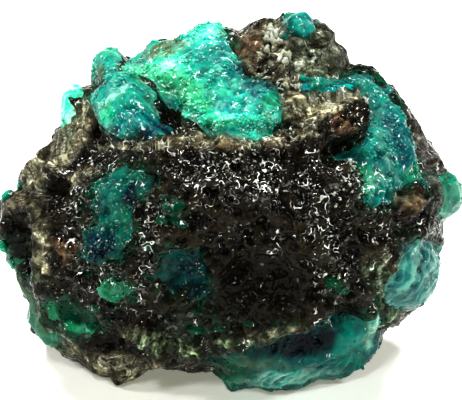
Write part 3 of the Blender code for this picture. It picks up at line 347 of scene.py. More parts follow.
# Soft oval patches of each channel, on each side: across, up, half length, half width, turn in
# degrees, and the value that the patch draws the channel to.
PATCHES = {
    FRONT: {
        "tone": (
            (3.0, 12.8, 2.4, 1.5, -30, 1.0), (-6.6, 12.4, 3.6, 1.6, -15, 0.20),
            (-4.6, 11.2, 3.4, 1.4, -35, 0.10), (-1.2, 14.0, 2.6, 3.0, 0, 0.54),
            (2.4, 11.8, 2.8, 1.7, -60, 0.72), (1.0, 9.6, 2.5, 1.2, 0, 0.60),
            (-0.8, 8.0, 3.0, 1.0, 0, 0.35), (4.0, 10.2, 1.2, 0.8, 0, 0.32),
            (-9.0, 10.6, 2.0, 1.0, 10, 0.45), (-9.6, 8.0, 2.6, 1.5, 0, 0.66),
            (-8.0, 7.0, 1.8, 1.0, 20, 0.85), (-11.8, 8.8, 1.0, 1.0, 0, 0.35),
            (-11.8, 12.8, 1.0, 1.0, 0, 0.50), (-12.2, 15.2, 1.2, 0.7, 0, 0.30),
            (-10.0, 2.6, 2.2, 1.2, 0, 0.45), (-9.6, 1.0, 0.8, 1.4, 0, 0.90),
            (-10.8, -1.5, 1.5, 1.2, 0, 0.40), (-12.6, -4.0, 1.9, 1.5, 0, 0.88),
            (7.0, -13.5, 4.0, 1.6, 10, 0.90), (11.8, -14.0, 1.8, 2.4, -20, 0.50),
            (0.0, -16.5, 2.6, 1.6, 0, 0.20), (9.8, 11.6, 2.4, 0.9, 0, 0.55),
            (16.8, 6.3, 1.4, 3.6, 25, 0.78), (13.0, 2.5, 1.5, 1.6, 0, 0.25),
            (18.0, 3.2, 1.4, 0.9, 20, 0.30),
        ),
        # Painted light and shade on the growths: each patch makes them brighter or darker.
        "light": (
            (-15.0, -12.3, 2.4, 0.5, -14, 0.9), (-1.2, 13.0, 3.0, 3.2, 0, 0.62),
            (2.9, 12.0, 2.8, 1.9, -35, 0.34), (1.0, 7.5, 4.0, 0.8, 0, 0.7),
            (-6.4, 11.4, 2.4, 0.9, -30, 0.75), (3.0, 12.8, 2.3, 1.4, -30, 0.16),
            (2.6, 10.6, 1.6, 1.0, 0, 0.6), (-4.0, 15.0, 1.2, 0.8, 20, 0.7),
            (-4.2, 9.4, 1.8, 0.5, -30, 0.6), (-12.6, -4.0, 2.2, 1.6, 0, 0.26),
            (-10.6, -1.4, 1.6, 1.2, 0, 0.3), (-8.6, 14.6, 2.2, 0.8, 20, 0.6),
            (-9.6, 1.0, 1.0, 1.5, 0, 0.2), (-8.4, 6.8, 2.2, 1.0, 0, 0.5),
            (-11.6, 8.6, 1.4, 1.0, 30, 1.0), (-13.0, 12.4, 0.8, 1.2, 0, 0.4),
            (-17.6, -10.4, 0.8, 1.3, 20, 0.45), (7.0, -13.6, 4.8, 1.7, 8, 0.09),
            (5.5, -17.1, 5.5, 0.8, 4, 0.75), (14.2, -12.2, 0.7, 2.4, -10, 0.8),
            (0.6, -15.8, 3.2, 1.7, 0, 0.20), (11.8, -14.0, 1.6, 2.2, -20, 0.42),
            (12.5, 4.7, 1.4, 1.0, 0, 0.35), (18.2, 6.5, 0.8, 3.0, 20, 0.35),
            (16.8, 6.3, 1.2, 3.2, 25, 0.42), (13.6, 6.4, 0.8, 2.6, 10, 0.62),
            (13.0, 2.4, 1.4, 1.2, 0, 0.6),
        ),
        "pale": (
            (-8.0, 13.9, 3.0, 0.9, -5, 0.6), (-11.4, 10.7, 2.5, 0.42, 40, 1.0),
            (13.6, 10.5, 0.7, 1.6, 10, 0.5), (14.6, 6.8, 4.8, 0.32, -69, 1.2),
            (5.5, -17.0, 5.5, 0.9, 4, 0.9), (1.0, -15.4, 3.0, 0.5, -12, 0.5),
            (14.2, -12.2, 0.6, 2.4, -10, 1.0), (17.0, -5.0, 0.5, 3.4, -35, 0.6),
            (19.0, -7.0, 0.4, 3.0, -35, 0.5), (14.0, 2.4, 1.2, 1.2, 0, 0.5),
        ),
        "druse": (
            (-8.8, 11.2, 1.6, 0.8, 0, 0.1), (4.0, 10.2, 1.3, 0.9, 0, 0.0),
            (-9.6, 7.8, 2.8, 1.6, 0, 1.3), (3.0, 12.8, 2.3, 1.4, -30, 0.4),
            (13.2, 2.6, 2.0, 1.6, 0, 1.3),
        ),
        "soil": (
            (-19.8, -9.6, 1.2, 4.6, 25, 0.55), (3.4, -15.6, 3.4, 0.5, -8, 0.5),
            (14.0, -12.0, 0.7, 2.6, -15, 0.45), (-6.3, 15.5, 2.2, 1.0, 18, 1.3),
            (-12.9, 13.0, 0.5, 1.6, 0, 0.8), (-15.2, 9.7, 0.6, 0.5, 0, 0.9),
            (0.5, 6.5, 2.4, 0.35, 0, 0.6), (3.4, 8.8, 0.5, 1.4, 10, 0.5),
            (19.4, 6.0, 0.5, 3.0, 20, 0.6),
        ),
        "crust": (
            (1.8, 15.6, 1.2, 2.4, -20, 0.8), (-15.0, 2.6, 2.2, 0.8, 30, 0.9),
            (-17.0, 6.0, 6.2, 2.0, 48, 1.8), (-18.7, -3.5, 0.9, 5.5, 3, 1.3),
            (-9.0, 5.7, 4.0, 0.42, 0, 1.6), (-1.0, 5.8, 6.0, 0.42, -2, 2.2),
            (17.0, -10.6, 2.6, 0.8, 14, 1.8), (8.0, 9.3, 3.4, 1.1, 10, 1.6),
            (1.0, 6.5, 8.0, 0.6, 2, 1.3), (15.8, -7.6, 0.8, 3.2, 15, 1.6),
            (6.0, 6.6, 3.0, 0.45, 25, 1.2), (6.5, 15.0, 5.0, 3.4, -15, 1.5),
            (9.4, 10.5, 3.6, 0.8, 6, 3.0), (5.4, 11.0, 1.3, 3.2, 10, 1.4),
            (19.8, 5.0, 1.6, 5.0, 25, 0.8), (17.3, 0.6, 1.8, 0.9, -30, 1.0),
            (14.5, -8.0, 0.9, 3.5, 20, 1.1), (-6.5, -13.8, 4.2, 0.9, -18, 1.6),
            (-10.5, -16.3, 4.4, 1.6, -10, 3.0), (2.0, -13.0, 5.0, 0.5, 12, 0.8),
            (-21.5, -8.5, 1.0, 4.0, 15, 1.1), (-17.4, -13.4, 5.2, 1.2, -49, 2.2),
            (-21.5, 0.3, 2.0, 0.8, 25, 1.1), (-5.6, 14.4, 1.8, 0.7, 12, 1.0),
        ),
        "ash": (
            (10.0, 10.8, 3.2, 0.7, 6, 0.45), (8.0, 15.5, 4.0, 3.0, -15, 0.35),
            (19.0, 5.5, 2.0, 6.0, 25, 0.9), (-19.0, -10.5, 2.5, 6.0, 30, 0.6),
            (15.0, -8.0, 1.6, 4.0, 20, 0.5), (-9.0, -15.5, 6.0, 2.0, -10, 0.35),
        ),
        "rust": (
            (2.0, 15.4, 1.4, 2.6, -20, 0.9), (-16.5, -4.5, 1.6, 1.4, 0, 0.9),
            (17.8, 0.2, 1.4, 1.2, 0, 0.8), (10.9, 7.9, 1.3, 1.2, 0, 1.3),
            (-1.0, 5.9, 8.0, 0.7, -2, 0.5), (-21.8, 0.8, 1.4, 0.9, 10, 0.6),
            (2.8, 13.0, 0.6, 1.4, 0, 0.6),
        ),
        # Painted shade: each patch darkens a hollow of the rock towards black.
        "hollow": (
            (-20.6, -4.0, 1.5, 3.0, 14, 1.0), (-17.4, 0.4, 0.9, 2.3, -30, 0.9),
            (-6.3, 8.6, 1.3, 1.8, 25, 1.0), (-13.1, 7.2, 0.8, 1.1, -20, 1.0),
            (10.8, 5.4, 1.8, 1.0, 20, 1.0), (11.6, -10.9, 1.3, 1.6, 0, 1.0),
            (-12.6, -14.0, 1.8, 0.8, -10, 1.0), (2.5, -8.0, 5.0, 3.4, 0, 0.7),
            (3.6, 13.4, 1.3, 0.7, -25, 0.9), (-14.0, -7.6, 2.0, 1.4, 0, 0.7),
        ),
        "stain": (
            (-7.0, 16.2, 3.5, 1.3, 22, 1.0), (-12.6, 1.4, 1.4, 1.8, 20, 0.8),
            (-13.6, -6.2, 1.6, 1.0, 0, 0.7), (-8.2, -3.6, 0.9, 1.6, 0, 0.6),
            (-7.6, 2.6, 1.2, 0.8, 0, 0.6), (9.4, 11.9, 2.6, 0.6, 4, 1.0),
            (12.8, 4.8, 1.0, 1.8, 10, 0.9), (-5.7, -0.5, 1.5, 1.4, 0, 0.9),
            (13.5, 4.8, 1.2, 1.0, 0, 0.6), (10.5, -7.8, 1.2, 1.2, 0, 0.7),
            (-3.0, -12.0, 4.0, 2.0, 0, 0.35),
        ),
        # Gloss of the rock, which sets both its shiny metallic grains and how many painted glints
        # it has.
        "gloss": (
            (-1.5, 5.3, 8.5, 0.8, -2, 1.25), (-12.5, 3.4, 2.0, 1.4, 20, 1.0),
            (1.2, 2.6, 8.0, 2.6, -4, 1.0), (9.2, -2.5, 2.6, 7.0, 8, 0.85),
            (-8.2, -4.5, 0.9, 5.0, -6, 1.0), (-15.5, -1.0, 2.0, 5.0, 10, 0.8),
            (-12.0, 5.0, 4.0, 1.6, 20, 0.8), (12.5, 3.2, 3.0, 1.6, -20, 0.9),
            (1.5, -8.0, 6.0, 4.4, 0, 0.05), (-20.6, -4.0, 1.8, 3.4, 14, 0.0),
            (-17.5, 0.5, 1.2, 2.6, -30, 0.1), (11.5, -11.0, 1.6, 1.8, 0, 0.0),
            (11.2, 5.6, 1.8, 1.4, 0, 0.1), (-6.3, 8.4, 1.5, 2.0, 25, 0.3),
            (5.5, 14.5, 5.0, 3.0, -15, 0.6), (-12.0, -14.5, 3.5, 1.0, -12, 0.1),
            (-9.5, -16.0, 4.5, 1.6, -10, 0.15), (4.4, 6.6, 6.0, 0.8, 0, 0.9),
        ),
        "moss": (
            (-4.0, -13.9, 9.0, 1.8, -3, 0.7), (-19.6, -9.0, 1.8, 5.5, 28, 0.9),
            (15.2, -9.5, 1.8, 5.0, 15, 0.8), (8.5, 14.5, 3.0, 3.0, 0, 0.4),
        ),
        "pool": ((9.3, 11.8, 2.5, 0.75, 2, 1.3), (11.8, 12.2, 1.4, 0.7, 10, 1.0)),
        "calm": (
            (9.4, 11.3, 3.4, 1.5, 4, 1.3), (2.0, -8.0, 5.5, 3.6, 0, 0.8),
            (-20.6, -4.0, 1.6, 3.2, 14, 0.9), (-17.5, 0.5, 1.0, 2.2, -30, 0.6),
            (11.5, -11.0, 1.4, 1.6, 0, 0.9), (11.2, 5.6, 1.6, 1.2, 0, 0.9),
        ),
    },
    BACK: {
        "soil": ((5.0, 10.0, 2.5, 0.9, 20, 0.7), (-10.0, -7.0, 1.8, 0.8, 60, 0.6)),
        "crust": (
            (-6.0, 12.0, 9.0, 2.0, 8, 1.0), (-15.0, -1.0, 3.0, 6.0, 15, 0.8),
            (13.0, 1.0, 3.0, 6.0, -15, 0.8), (0.0, -11.0, 9.0, 2.2, 4, 1.0),
            (3.0, 6.5, 6.0, 1.4, -12, 0.7),
        ),
        "ash": ((10.0, 0.0, 5.0, 8.0, 0, 0.7),),
        "rust": ((-10.0, -6.0, 2.6, 1.8, 20, 0.7), (8.0, -3.0, 2.4, 2.0, 0, 0.6)),
        "stain": ((-7.0, 16.0, 3.6, 1.8, 22, 1.0), (1.0, -0.5, 7.0, 5.0, 0, 0.35)),
        "moss": ((2.0, -8.0, 9.0, 4.0, 0, 0.7),),
    },
}


def smooth_step(low, high, value):
    """0 below low, 1 above high, and a smooth rise between them."""
    share = np.clip((value - low) / (high - low), 0.0, 1.0)
    return share * share * (3.0 - 2.0 * share)


def shuffled(order, cell):
    """A number below 256 for each lattice cell, from a shuffled table that is read three times."""
    at = cell & 255
    return order[(order[(order[at[:, 0]] + at[:, 1]) & 255] + at[:, 2]) & 255]


def lattice_noise(points, seed):
    """Gradient noise, about -1 to 1: each lattice corner has a random slope, and the slopes
    are blended over the cell with the quintic fade."""
    rng = np.random.default_rng(seed)
    order = rng.permutation(256)
    slopes = rng.normal(size=(256, 3))
    slopes /= np.linalg.norm(slopes, axis=1)[:, None]
    cell = np.floor(points).astype(int)
    inside = points - cell
    fade = inside**3 * (inside * (inside * 6.0 - 15.0) + 10.0)
    total = np.zeros(len(points))
    for corner in np.ndindex(2, 2, 2):
        slope = slopes[shuffled(order, cell + corner)]
        share = np.where(corner, fade, 1.0 - fade).prod(axis=1)
        total += share * ((inside - corner) * slope).sum(axis=1)
    return total * 1.6


def unit(vectors):
    """The vectors at length 1."""
    return vectors / np.linalg.norm(vectors, axis=1)[:, None]


def outline_radius(angle):
    """Distance from the middle to OUTLINE at this angle, straight between its points."""
    points = np.array(OUTLINE)
    turns = np.arctan2(points[:, 1], points[:, 0])
    order = np.argsort(turns)
    return np.interp(angle, turns[order], np.hypot(*points.T)[order], period=2.0 * math.pi)


def broad_outline_radius(angle):
    """The outline with its teeth averaged away over TOOTH_WIDTH to each side."""
    places = np.linspace(-1.0, 1.0, 9)
    weights = 1.0 - 0.7 * places**2
    rings = [weight * outline_radius(angle + place * TOOTH_WIDTH)
             for place, weight in zip(places, weights)]
    return sum(rings) / weights.sum()


def break_radius(directions):
    """Distance to the broken faces: the reciprocal of a high-power mean of direction . normal
    over distance, which is a polyhedron with its edges rounded."""
    normals = unit(np.array([normal for normal, _ in BREAKS]))
    distances = np.array([distance for _, distance in BREAKS])
    reach = np.maximum(directions @ normals.T / distances, 0.0)
    return (reach**BREAK_ROUNDING).sum(axis=1) ** (-1.0 / BREAK_ROUNDING)


def body_points(directions):
    """The bare lump: the broken faces, fitted to the outline where the surface turns away
    from the display side."""
    angle = np.arctan2(directions[:, 1], directions[:, 0])
    rim = np.stack([np.cos(angle), np.sin(angle), np.zeros(len(angle))], axis=1)
    aside = np.hypot(directions[:, 0], directions[:, 1])
    broad = broad_outline_radius(angle)
    fit = broad / break_radius(rim)
    radius = break_radius(directions) * (1.0 + (fit - 1.0) * aside**2)
    teeth = outline_radius(angle) - broad
    radius += teeth * np.exp(-((directions[:, 2] / RIM_BAND) ** 2))
    widest = outline_radius(angle) / np.maximum(aside, 1e-6)
    return directions * np.minimum(radius, widest)[:, None]


def facing(points, side):
    """1 on this side of the lump, falling to 0 just round its outline."""
    return smooth_step(*FACING_BAND, side * points[:, 2])


def cos_sin(turn):
    """The cosine and sine of a turn in degrees."""
    return math.cos(math.radians(turn)), math.sin(math.radians(turn))


def oval_reach(x, y, across, up, half_length, half_width, turn):
    """How far out each place lies in a turned oval: 0 in its middle and 1 on its edge."""
    c, s = cos_sin(turn)
    x, y = x - across, y - up
    return np.hypot((x * c + y * s) / half_length, (y * c - x * s) / half_width)


def swell_height(points):
    """All lumps and pits: a lump is a flattened dome, and a pit has a level floor."""
    total = np.zeros(len(points))
    for side, *oval, height in SWELLS:
        q = oval_reach(points[:, 0], points[:, 1], *oval)
        if height > 0.0:
            shape = np.clip(1.0 - q * q, 0.0, 1.0) ** 0.8
        else:
            shape = 1.0 - smooth_step(PIT_FLOOR, PIT_EDGE, q)
        total += height * shape * facing(points, side)
    return total


def line_distance(points, line, closed=False):
    """Distance in the display plane to a line through these points."""
    nearest = np.full(len(points), np.inf)
    ends = line[1:] + (line[:1] if closed else ())
    for start, end in zip(line, ends):
        along = np.subtract(end, start)
        offset = points[:, :2] - start
        share = np.clip(offset @ along / (along @ along), 0.0, 1.0)
        nearest = np.minimum(nearest, np.hypot(*(offset - share[:, None] * along).T))
    return nearest


def ridge_height(points):
    """All ridges: each is highest on its line and smooth to its half width."""
    total = np.zeros(len(points))
    for side, half_width, height, line in RIDGES:
        q = np.clip(line_distance(points, line) / (RIDGE_FOOT * half_width), 0.0, 1.0)
        total = np.maximum(total, height * (1.0 - q * q) ** 2 * facing(points, side))
    return total


def inside_outline(points, outline):
    """Whether each point lies within a closed outline, by counting the edges it passes."""
    within = np.zeros(len(points), bool)
    x, y = points[:, 0], points[:, 1]
    for (ax, ay), (bx, by) in zip(outline, outline[1:] + outline[:1]):
        spans = (ay > y) != (by > y)
        crossing = ax + (y - ay) * (bx - ax) / (by - ay if by != ay else 1.0)
        within ^= spans & (x < crossing)
    return within


def growth_depth(points, name):
    """How far inside a growth's outline each point is, in millimetres; below 0 is outside."""
    side, _, _, outline = GROWTHS[name]
    distance = line_distance(points, outline, closed=True)
    depth = np.where(inside_outline(points, outline), distance, -distance)
    return np.minimum(depth, side * points[:, 2] + WRAP)


def growth_thickness(depth, thickness):
    """Thin at the outline of a growth, and its full thickness GROWTH_RISE inside."""
    return GROWTH_EDGE + (thickness - GROWTH_EDGE) * smooth_step(0.0, GROWTH_RISE, depth)


def rim_share(bare):
    """1 at the outline, falling to 0 within RIM_BAND of it."""
    return np.exp(-((bare[:, 2] / (RIM_BAND * MEAN_RADIUS)) ** 2))


def grain_height(bare, overgrown):
    """The stone's grain: broad noise everywhere, and sharp crests where no growth covers it."""
    total = sum(height * lattice_noise(bare / wavelength + 40.0, seed)
                for wavelength, height, seed in GRAIN)
    crests = CRAG_LEVEL - np.abs(lattice_noise(bare / CRAG_WAVELENGTH + 40.0, CRAG_SEED))
    total += CRAG_HEIGHT * crests * (1.0 - overgrown)
    return total * (1.0 - RIM_CALM * rim_share(bare))


def flat_below(directions, radius):
    """The radius, ended at the flat break that the lump rests on."""
    down = -directions @ np.array([0.0, math.cos(DISPLAY_LEAN), math.sin(DISPLAY_LEAN)])
    return np.where(down * radius > BASE_DROP, BASE_DROP / np.maximum(down, 1e-6), radius)


def outer_radius(directions):
    """Distance from the middle to the finished outside: the bare lump with its lumps, pits,
    ridges and grain, each growth standing proud, and the flat break below."""
    bare = body_points(directions)
    radius = np.linalg.norm(bare, axis=1) + swell_height(bare) + ridge_height(bare)
    overgrown = np.zeros(len(radius))
    for name, (_, _, proud, _) in GROWTHS.items():
        inside = smooth_step(0.0, GROWTH_RISE, growth_depth(bare, name))
        radius += proud * inside
        overgrown = np.maximum(overgrown, inside)
    return flat_below(directions, radius + grain_height(bare, overgrown))


# --- fine form -------------------------------------------------------------------------------
def cell_spots(points, seed):
    """Each unit cell holds one random spot. Gives the distance to the nearest spot, the distance
    to the next nearest, and a random value, 0 to 1, that belongs to the nearest."""
    rng = np.random.default_rng(seed)
    order = rng.permutation(256)
    spots = rng.random((256, 3))
    cell = np.floor(points).astype(int)
    inside = points - cell
    nearest = np.full(len(points), 9.0)
    second = np.full(len(points), 9.0)
    value = np.zeros(len(points))
    for corner in np.ndindex(3, 3, 3):
        shift = np.array(corner) - 1
        pick = shuffled(order, cell + shift)
        distance = np.linalg.norm(shift + spots[pick] - inside, axis=1)
        closer = distance < nearest
        second = np.where(closer, nearest, np.minimum(second, distance))
        value = np.where(closer, pick / 255.0, value)
        nearest = np.where(closer, distance, nearest)
    return nearest, second, value


def beads(points, size, seed):
    """Rounded heads one size apart, from 0 in the creases between them to 1 on their tops: the
    root of one less the squared distance to the nearest spot."""
    nearest, _, _ = cell_spots(points / size, seed)
    return np.sqrt(np.clip(1.0 - (nearest / 0.9) ** 2, 0.0, 1.0))


def raised_beads(points, size, seed):
    """Beads, less their mean height."""
    return beads(points, size, seed) - BEAD_LEVEL


def vugs(points, size, seed):
    """Round holes of mixed sizes, about one size apart: -1 on their floors, a rim of about 0.3
    round them, and 0 elsewhere."""
    nearest, _, value = cell_spots(points / size, seed)
    q = nearest / (0.16 + 0.34 * value)
    return smooth_step(0.45, 1.0, q) - 1.0 + 0.3 * np.exp(-(((q - 1.2) / 0.25) ** 2))


def crests(points, size, seed):
    """Sharp winding crests: the mean level less the absolute value of noise."""
    return 0.25 - np.abs(lattice_noise(points / size + 60.0, seed))


def laid_over(points, *shapes):
    """Shapes added up: each has its function, height, size in millimetres, and seed."""
    return sum(height * shape(points, size, seed) for shape, height, size, seed in shapes)


def painted(points, channel, base=0.0):
    """base, with the soft oval patches of a channel laid over it in turn. Each draws the value
    to its own inside half its size, and fades out past its edge along a wavy line."""
    x, y, _ = (points + 0.45 * np.stack([lattice_noise(points / 1.3 + shift, 31)
                                         for shift in (3.0, 17.0, 41.0)], axis=1)).T
    value = np.full(len(points), float(base))
    for side, patches in PATCHES.items():
        for *oval, goal in patches.get(channel, ()):
            weight = 1.0 - smooth_step(0.55, 1.25, oval_reach(x, y, *oval))
            value += (goal - value) * weight * facing(points, side)
    return value


def wavy_depth(bare, name):
    """The depth inside a growth's outline, with the outline made uneven."""
    depth = growth_depth(bare, name)
    wave = 0.40 * lattice_noise(bare / 1.5 + 5.0, 41) + 0.20 * lattice_noise(bare / 0.6, 42)
    return depth + WAVINESS.get(name, 1.0) * wave * smooth_step(-3.0, 0.0, depth)


def rock_detail(bare, calm, crag):
    """Crests, vugs and beads of the bare rock, in millimetres, held back where it is calm. Where
    it is craggy the beads give way to sharper crests."""
    bent = bare + 0.5 * lattice_noise(bare / 1.9, 51)[:, None]
    detail = laid_over(bent, (crests, 0.55, 1.9, 52), (crests, 0.30, 0.8, 57),
                       (vugs, 0.45, 2.3, 53), (vugs, 0.22, 1.1, 55))
    beaded = laid_over(bent, (raised_beads, 0.36, 0.95, 54))
    beaded += laid_over(bare, (raised_beads, 0.15, 0.5, 56))
    craggy = laid_over(bent, (crests, 1.3, 2.7, 58), (crests, 0.6, 1.3, 59))
    detail += beaded * (1.0 - 0.8 * crag) + crag * (craggy + 0.25 * striae(bare))
    return detail * (1.0 - 0.6 * calm)


def layers(bare):
    """Where a place lies in the stone's layers, which run round the middle of each side: how far
    out it is, and the way round it as two numbers. All are bent a little."""
    x, y, z = (bare + 0.25 * lattice_noise(bare / 1.5, 34)[:, None]).T
    out = np.maximum(np.hypot(x, y), 3.0)
    return {"layer": out + 0.35 * z, "way_x": 4.0 * x / out, "way_y": 4.0 * y / out + z / 4.0}


def striae(bare):
    """Fine ribs along the layers, as crests of noise that changes ten times slower along them
    than across."""
    place_in = layers(bare)
    drawn = np.stack([place_in["layer"] / 0.42, place_in["way_x"], place_in["way_y"]], axis=1)
    return 0.25 - np.abs(lattice_noise(drawn + 30.0, 35))


def growth_detail(bare):
    """Rolling lumps, crests and pits of a growth, in millimetres."""
    bent = bare + 0.4 * lattice_noise(bare / 2.1, 61)[:, None]
    return laid_over(bent, (raised_beads, 0.38, 2.4, 62), (raised_beads, 0.24, 1.15, 63),
                     (crests, 0.26, 1.6, 64), (crests, 0.50, 3.6, 67), (vugs, 0.16, 1.7, 66))


# --- meshes ----------------------------------------------------------------------------------
def half_ball(count, side):
    """Directions over half of a sphere on a square grid. The square is drawn to a disc by the
    ellipse rule, and the disc is lifted to the half sphere with equal areas. The grid lines
    stand closer in the middle of the square."""
    line = np.linspace(-1.0, 1.0, count + 1)
    line = line * (1.0 - GRID_PULL) + GRID_PULL * line**3
    u, v = np.meshgrid(line, line, indexing="ij")
    x, y = u * np.sqrt(1.0 - v * v / 2.0), v * np.sqrt(1.0 - u * u / 2.0)
    square = x * x + y * y
    lift = np.sqrt(2.0 - square)
    return np.stack([x * lift, y * lift, side * (1.0 - square)], axis=-1).reshape(-1, 3)


def grid_faces(index):
    """Quads over a grid of point numbers, facing the side from which the first way to the
    second turns left."""
    return np.stack([index[:-1, :-1], index[1:, :-1], index[1:, 1:], index[:-1, 1:]],
                    axis=-1).reshape(-1, 4)


def drawn_forward(directions):
    """Directions slid over the sphere towards the display side, with their small squares kept
    square: each depth z becomes (z + pull) / (1 + pull z)."""
    z = directions[:, 2:]
    flat = directions[:, :2] * math.sqrt(1.0 - FRONT_PULL**2)
    return np.concatenate([flat, z + FRONT_PULL], axis=1) / (1.0 + FRONT_PULL * z)


def ball_grid(count):
    """A closed sphere of directions from two square grids that share their rim."""
    front = np.arange((count + 1) ** 2).reshape(count + 1, count + 1)
    back = front + (count + 1) ** 2
    rim = np.ones(front.shape, bool)
    rim[1:-1, 1:-1] = False
    back[rim] = front[rim]
    faces = np.concatenate([grid_faces(front), grid_faces(back)[:, ::-1]])
    directions = np.concatenate([half_ball(count, FRONT), half_ball(count, BACK)])
    used, faces = np.unique(faces, return_inverse=True)
    return drawn_forward(unit(directions[used])), faces.reshape(-1, 4)


def patch_grid(name, spacing):
    """Directions on a flat square grid held against the sphere over one growth."""
    coarse, _ = ball_grid(70)
    near = coarse[growth_depth(body_points(coarse), name) > -0.9]
    middle = unit(near.mean(axis=0)[None])[0]
    right = unit(np.cross([[0.0, 1.0, 0.0]], middle))[0]
    up = np.cross(middle, right)
    reach = near @ middle
    sheet = np.stack([near @ right / reach, near @ up / reach], axis=1)
    step = spacing / MEAN_RADIUS
    low, high = sheet.min(axis=0) - 2.0 * step, sheet.max(axis=0) + 2.0 * step
    lines = [np.linspace(a, b, 2 + int((b - a) / step)) for a, b in zip(low, high)]
    u, v = np.meshgrid(*lines, indexing="ij")
    directions = middle + u[..., None] * right + v[..., None] * up
    index = np.arange(u.size).reshape(u.shape)
    return unit(directions.reshape(-1, 3)), grid_faces(index), u.shape


def rim_edges(faces):
    """The directed edges that only one of these faces has."""
    edges = np.concatenate([faces[:, [k, (k + 1) % 4]] for k in range(4)])
    _, first, count = np.unique(np.sort(edges, axis=1), axis=0, return_index=True,
                                return_counts=True)
    return edges[first[count == 1]]


def closed_shell(top, bottom, faces):
    """A skin, its underside, and the wall between them round the skin's rim."""
    used, faces = np.unique(faces, return_inverse=True)
    faces = faces.reshape(-1, 4)
    count = len(used)
    a, b = rim_edges(faces).T
    walls = np.stack([b, a, a + count, b + count], axis=1)
    points = np.concatenate([top[used], bottom[used]])
    return points, np.concatenate([faces, faces[:, ::-1] + count, walls]), used


def place(points):
    """From millimetres across, up and out of the display face to the frame's metres."""
    c, s = math.cos(DISPLAY_LEAN), math.sin(DISPLAY_LEAN)
    across, up, out = points.T
    return MM * np.stack([across + MIDDLE[0], up * s - out * c + MIDDLE[1],
                          up * c + out * s + BASE_DROP], axis=1)


def new_piece(name, points, faces, material, channels, smooth=True):
    """A mesh piece that rides on the specimen, with its per-point channels as attributes."""
    mesh = bpy.data.meshes.new(name)
    faces = np.asarray(faces)
    mesh.vertices.add(len(points))
    mesh.vertices.foreach_set("co", place(points).astype(np.float32).ravel())
    mesh.loops.add(faces.size)
    mesh.loops.foreach_set("vertex_index", faces.astype(np.int32).ravel())
    mesh.polygons.add(len(faces))
    starts = np.arange(0, faces.size, faces.shape[1], dtype=np.int32)
    mesh.polygons.foreach_set("loop_start", starts)
    mesh.update(calc_edges=True)
    mesh.validate()
    if smooth:
        mesh.shade_smooth()
    for channel, values in channels.items():
        attribute = mesh.attributes.new(channel, "FLOAT", "POINT")
        attribute.data.foreach_set("value", np.asarray(values, np.float32))
    mesh.materials.append(material)
    piece = bpy.data.objects.new(name, mesh)
    bpy.context.scene.collection.objects.link(piece)
    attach(piece, "root")
    return piece


def growth_cover(bare):
    """How far the rock dips under the growths, and how overgrown each place is."""
    cover = np.zeros(len(bare))
    nearness = np.full(len(bare), -9.0)
    for name, (_, thickness, _, _) in GROWTHS.items():
        depth = wavy_depth(bare, name)
        cover = np.maximum(cover, (thickness + SEAM_GAP) * smooth_step(-0.05, 1.1, depth))
        nearness = np.maximum(nearness, depth)
    return cover, nearness


def make_rock(material):
    """The lump: the solids' outside with the rock's detail, dipping under each growth."""
    directions, faces = ball_grid(ROCK_GRID)
    bare = body_points(directions)
    outer = outer_radius(directions)
    spots = directions * outer[:, None]
    cover, nearness = growth_cover(bare)
    looks = {channel: painted(spots, channel) for channel in
             ("calm", "crust", "ash", "rust", "moss", "pool", "stain", "hollow")}
    crag = np.clip(looks["crust"], 0.0, 1.0)
    detail = rock_detail(bare, looks["calm"], crag)
    detail *= (1.0 - RIM_DETAIL * rim_share(bare)) * (1.0 - smooth_step(-0.6, 0.35, nearness))
    radius = flat_below(directions, outer + detail - cover)
    near_growth = smooth_step(-1.3, 0.1, nearness + 0.5 * lattice_noise(bare / 1.1, 71))
    # Painted shade: sunk marks the pits and creases of the detail, which the material darkens like
    # the hollow patches.
    sunk = smooth_step(0.15, -0.45, detail) * (1.0 - 0.5 * crag)
    # crest lightens the crests in the material, a painted highlight, and also places the crust on
    # them.
    looks.update(layers(bare), gloss=painted(spots, "gloss", ROCK_GLOSS),
                 crest=smooth_step(0.02, 0.40, detail), rib=smooth_step(0.08, 0.22, striae(bare)),
                 stain=np.maximum(looks["stain"], 0.8 * near_growth),
                 hollow=np.maximum(looks["hollow"], sunk))
    piece = new_piece("iron_rock_skin", directions * radius[:, None], faces, material,
                      looks)
    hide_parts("iron_rock")


def crystal_points(feet, axes, widths, lengths, turns):
    """Six-sided quartz points. Each is a prism round its axis, with a ring of corners below its
    foot and one at six tenths of its length, and a pyramid above."""
    side = unit(np.cross(axes, [[0.31, 0.93, 0.19]]))
    other = np.cross(axes, side)
    angles = turns[:, None] + np.arange(6) * math.pi / 3.0
    ring = np.cos(angles)[..., None] * side[:, None] + np.sin(angles)[..., None] * other[:, None]
    ring *= widths[:, None, None] / 2.0
    rise = (axes * lengths[:, None])[:, None]
    foot = feet[:, None]
    points = np.concatenate([foot + ring - 0.3 * rise, foot + 0.9 * ring + 0.6 * rise,
                             foot + rise, foot - 0.35 * rise], axis=1)
    k = np.arange(6)
    j = (k + 1) % 6
    faces = np.concatenate([np.stack(corners, axis=1) for corners in (
        (k, j, j + 6), (k, j + 6, k + 6), (k + 6, j + 6, k * 0 + 12), (j, k, k * 0 + 13))])
    shift = CRYSTAL_CORNERS * np.arange(len(feet))[:, None, None]
    return points.reshape(-1, 3), (faces[None] + shift).reshape(-1, 3)


def grid_normals(points, shape):
    """Outward normals of a grid of points, from the differences to its neighbours."""
    sheet = points.reshape(*shape, 3)
    normals = np.cross(np.gradient(sheet, axis=0), np.gradient(sheet, axis=1)).reshape(-1, 3)
    normals = unit(normals)
    return normals * np.sign((normals * points).sum(axis=1))[:, None]


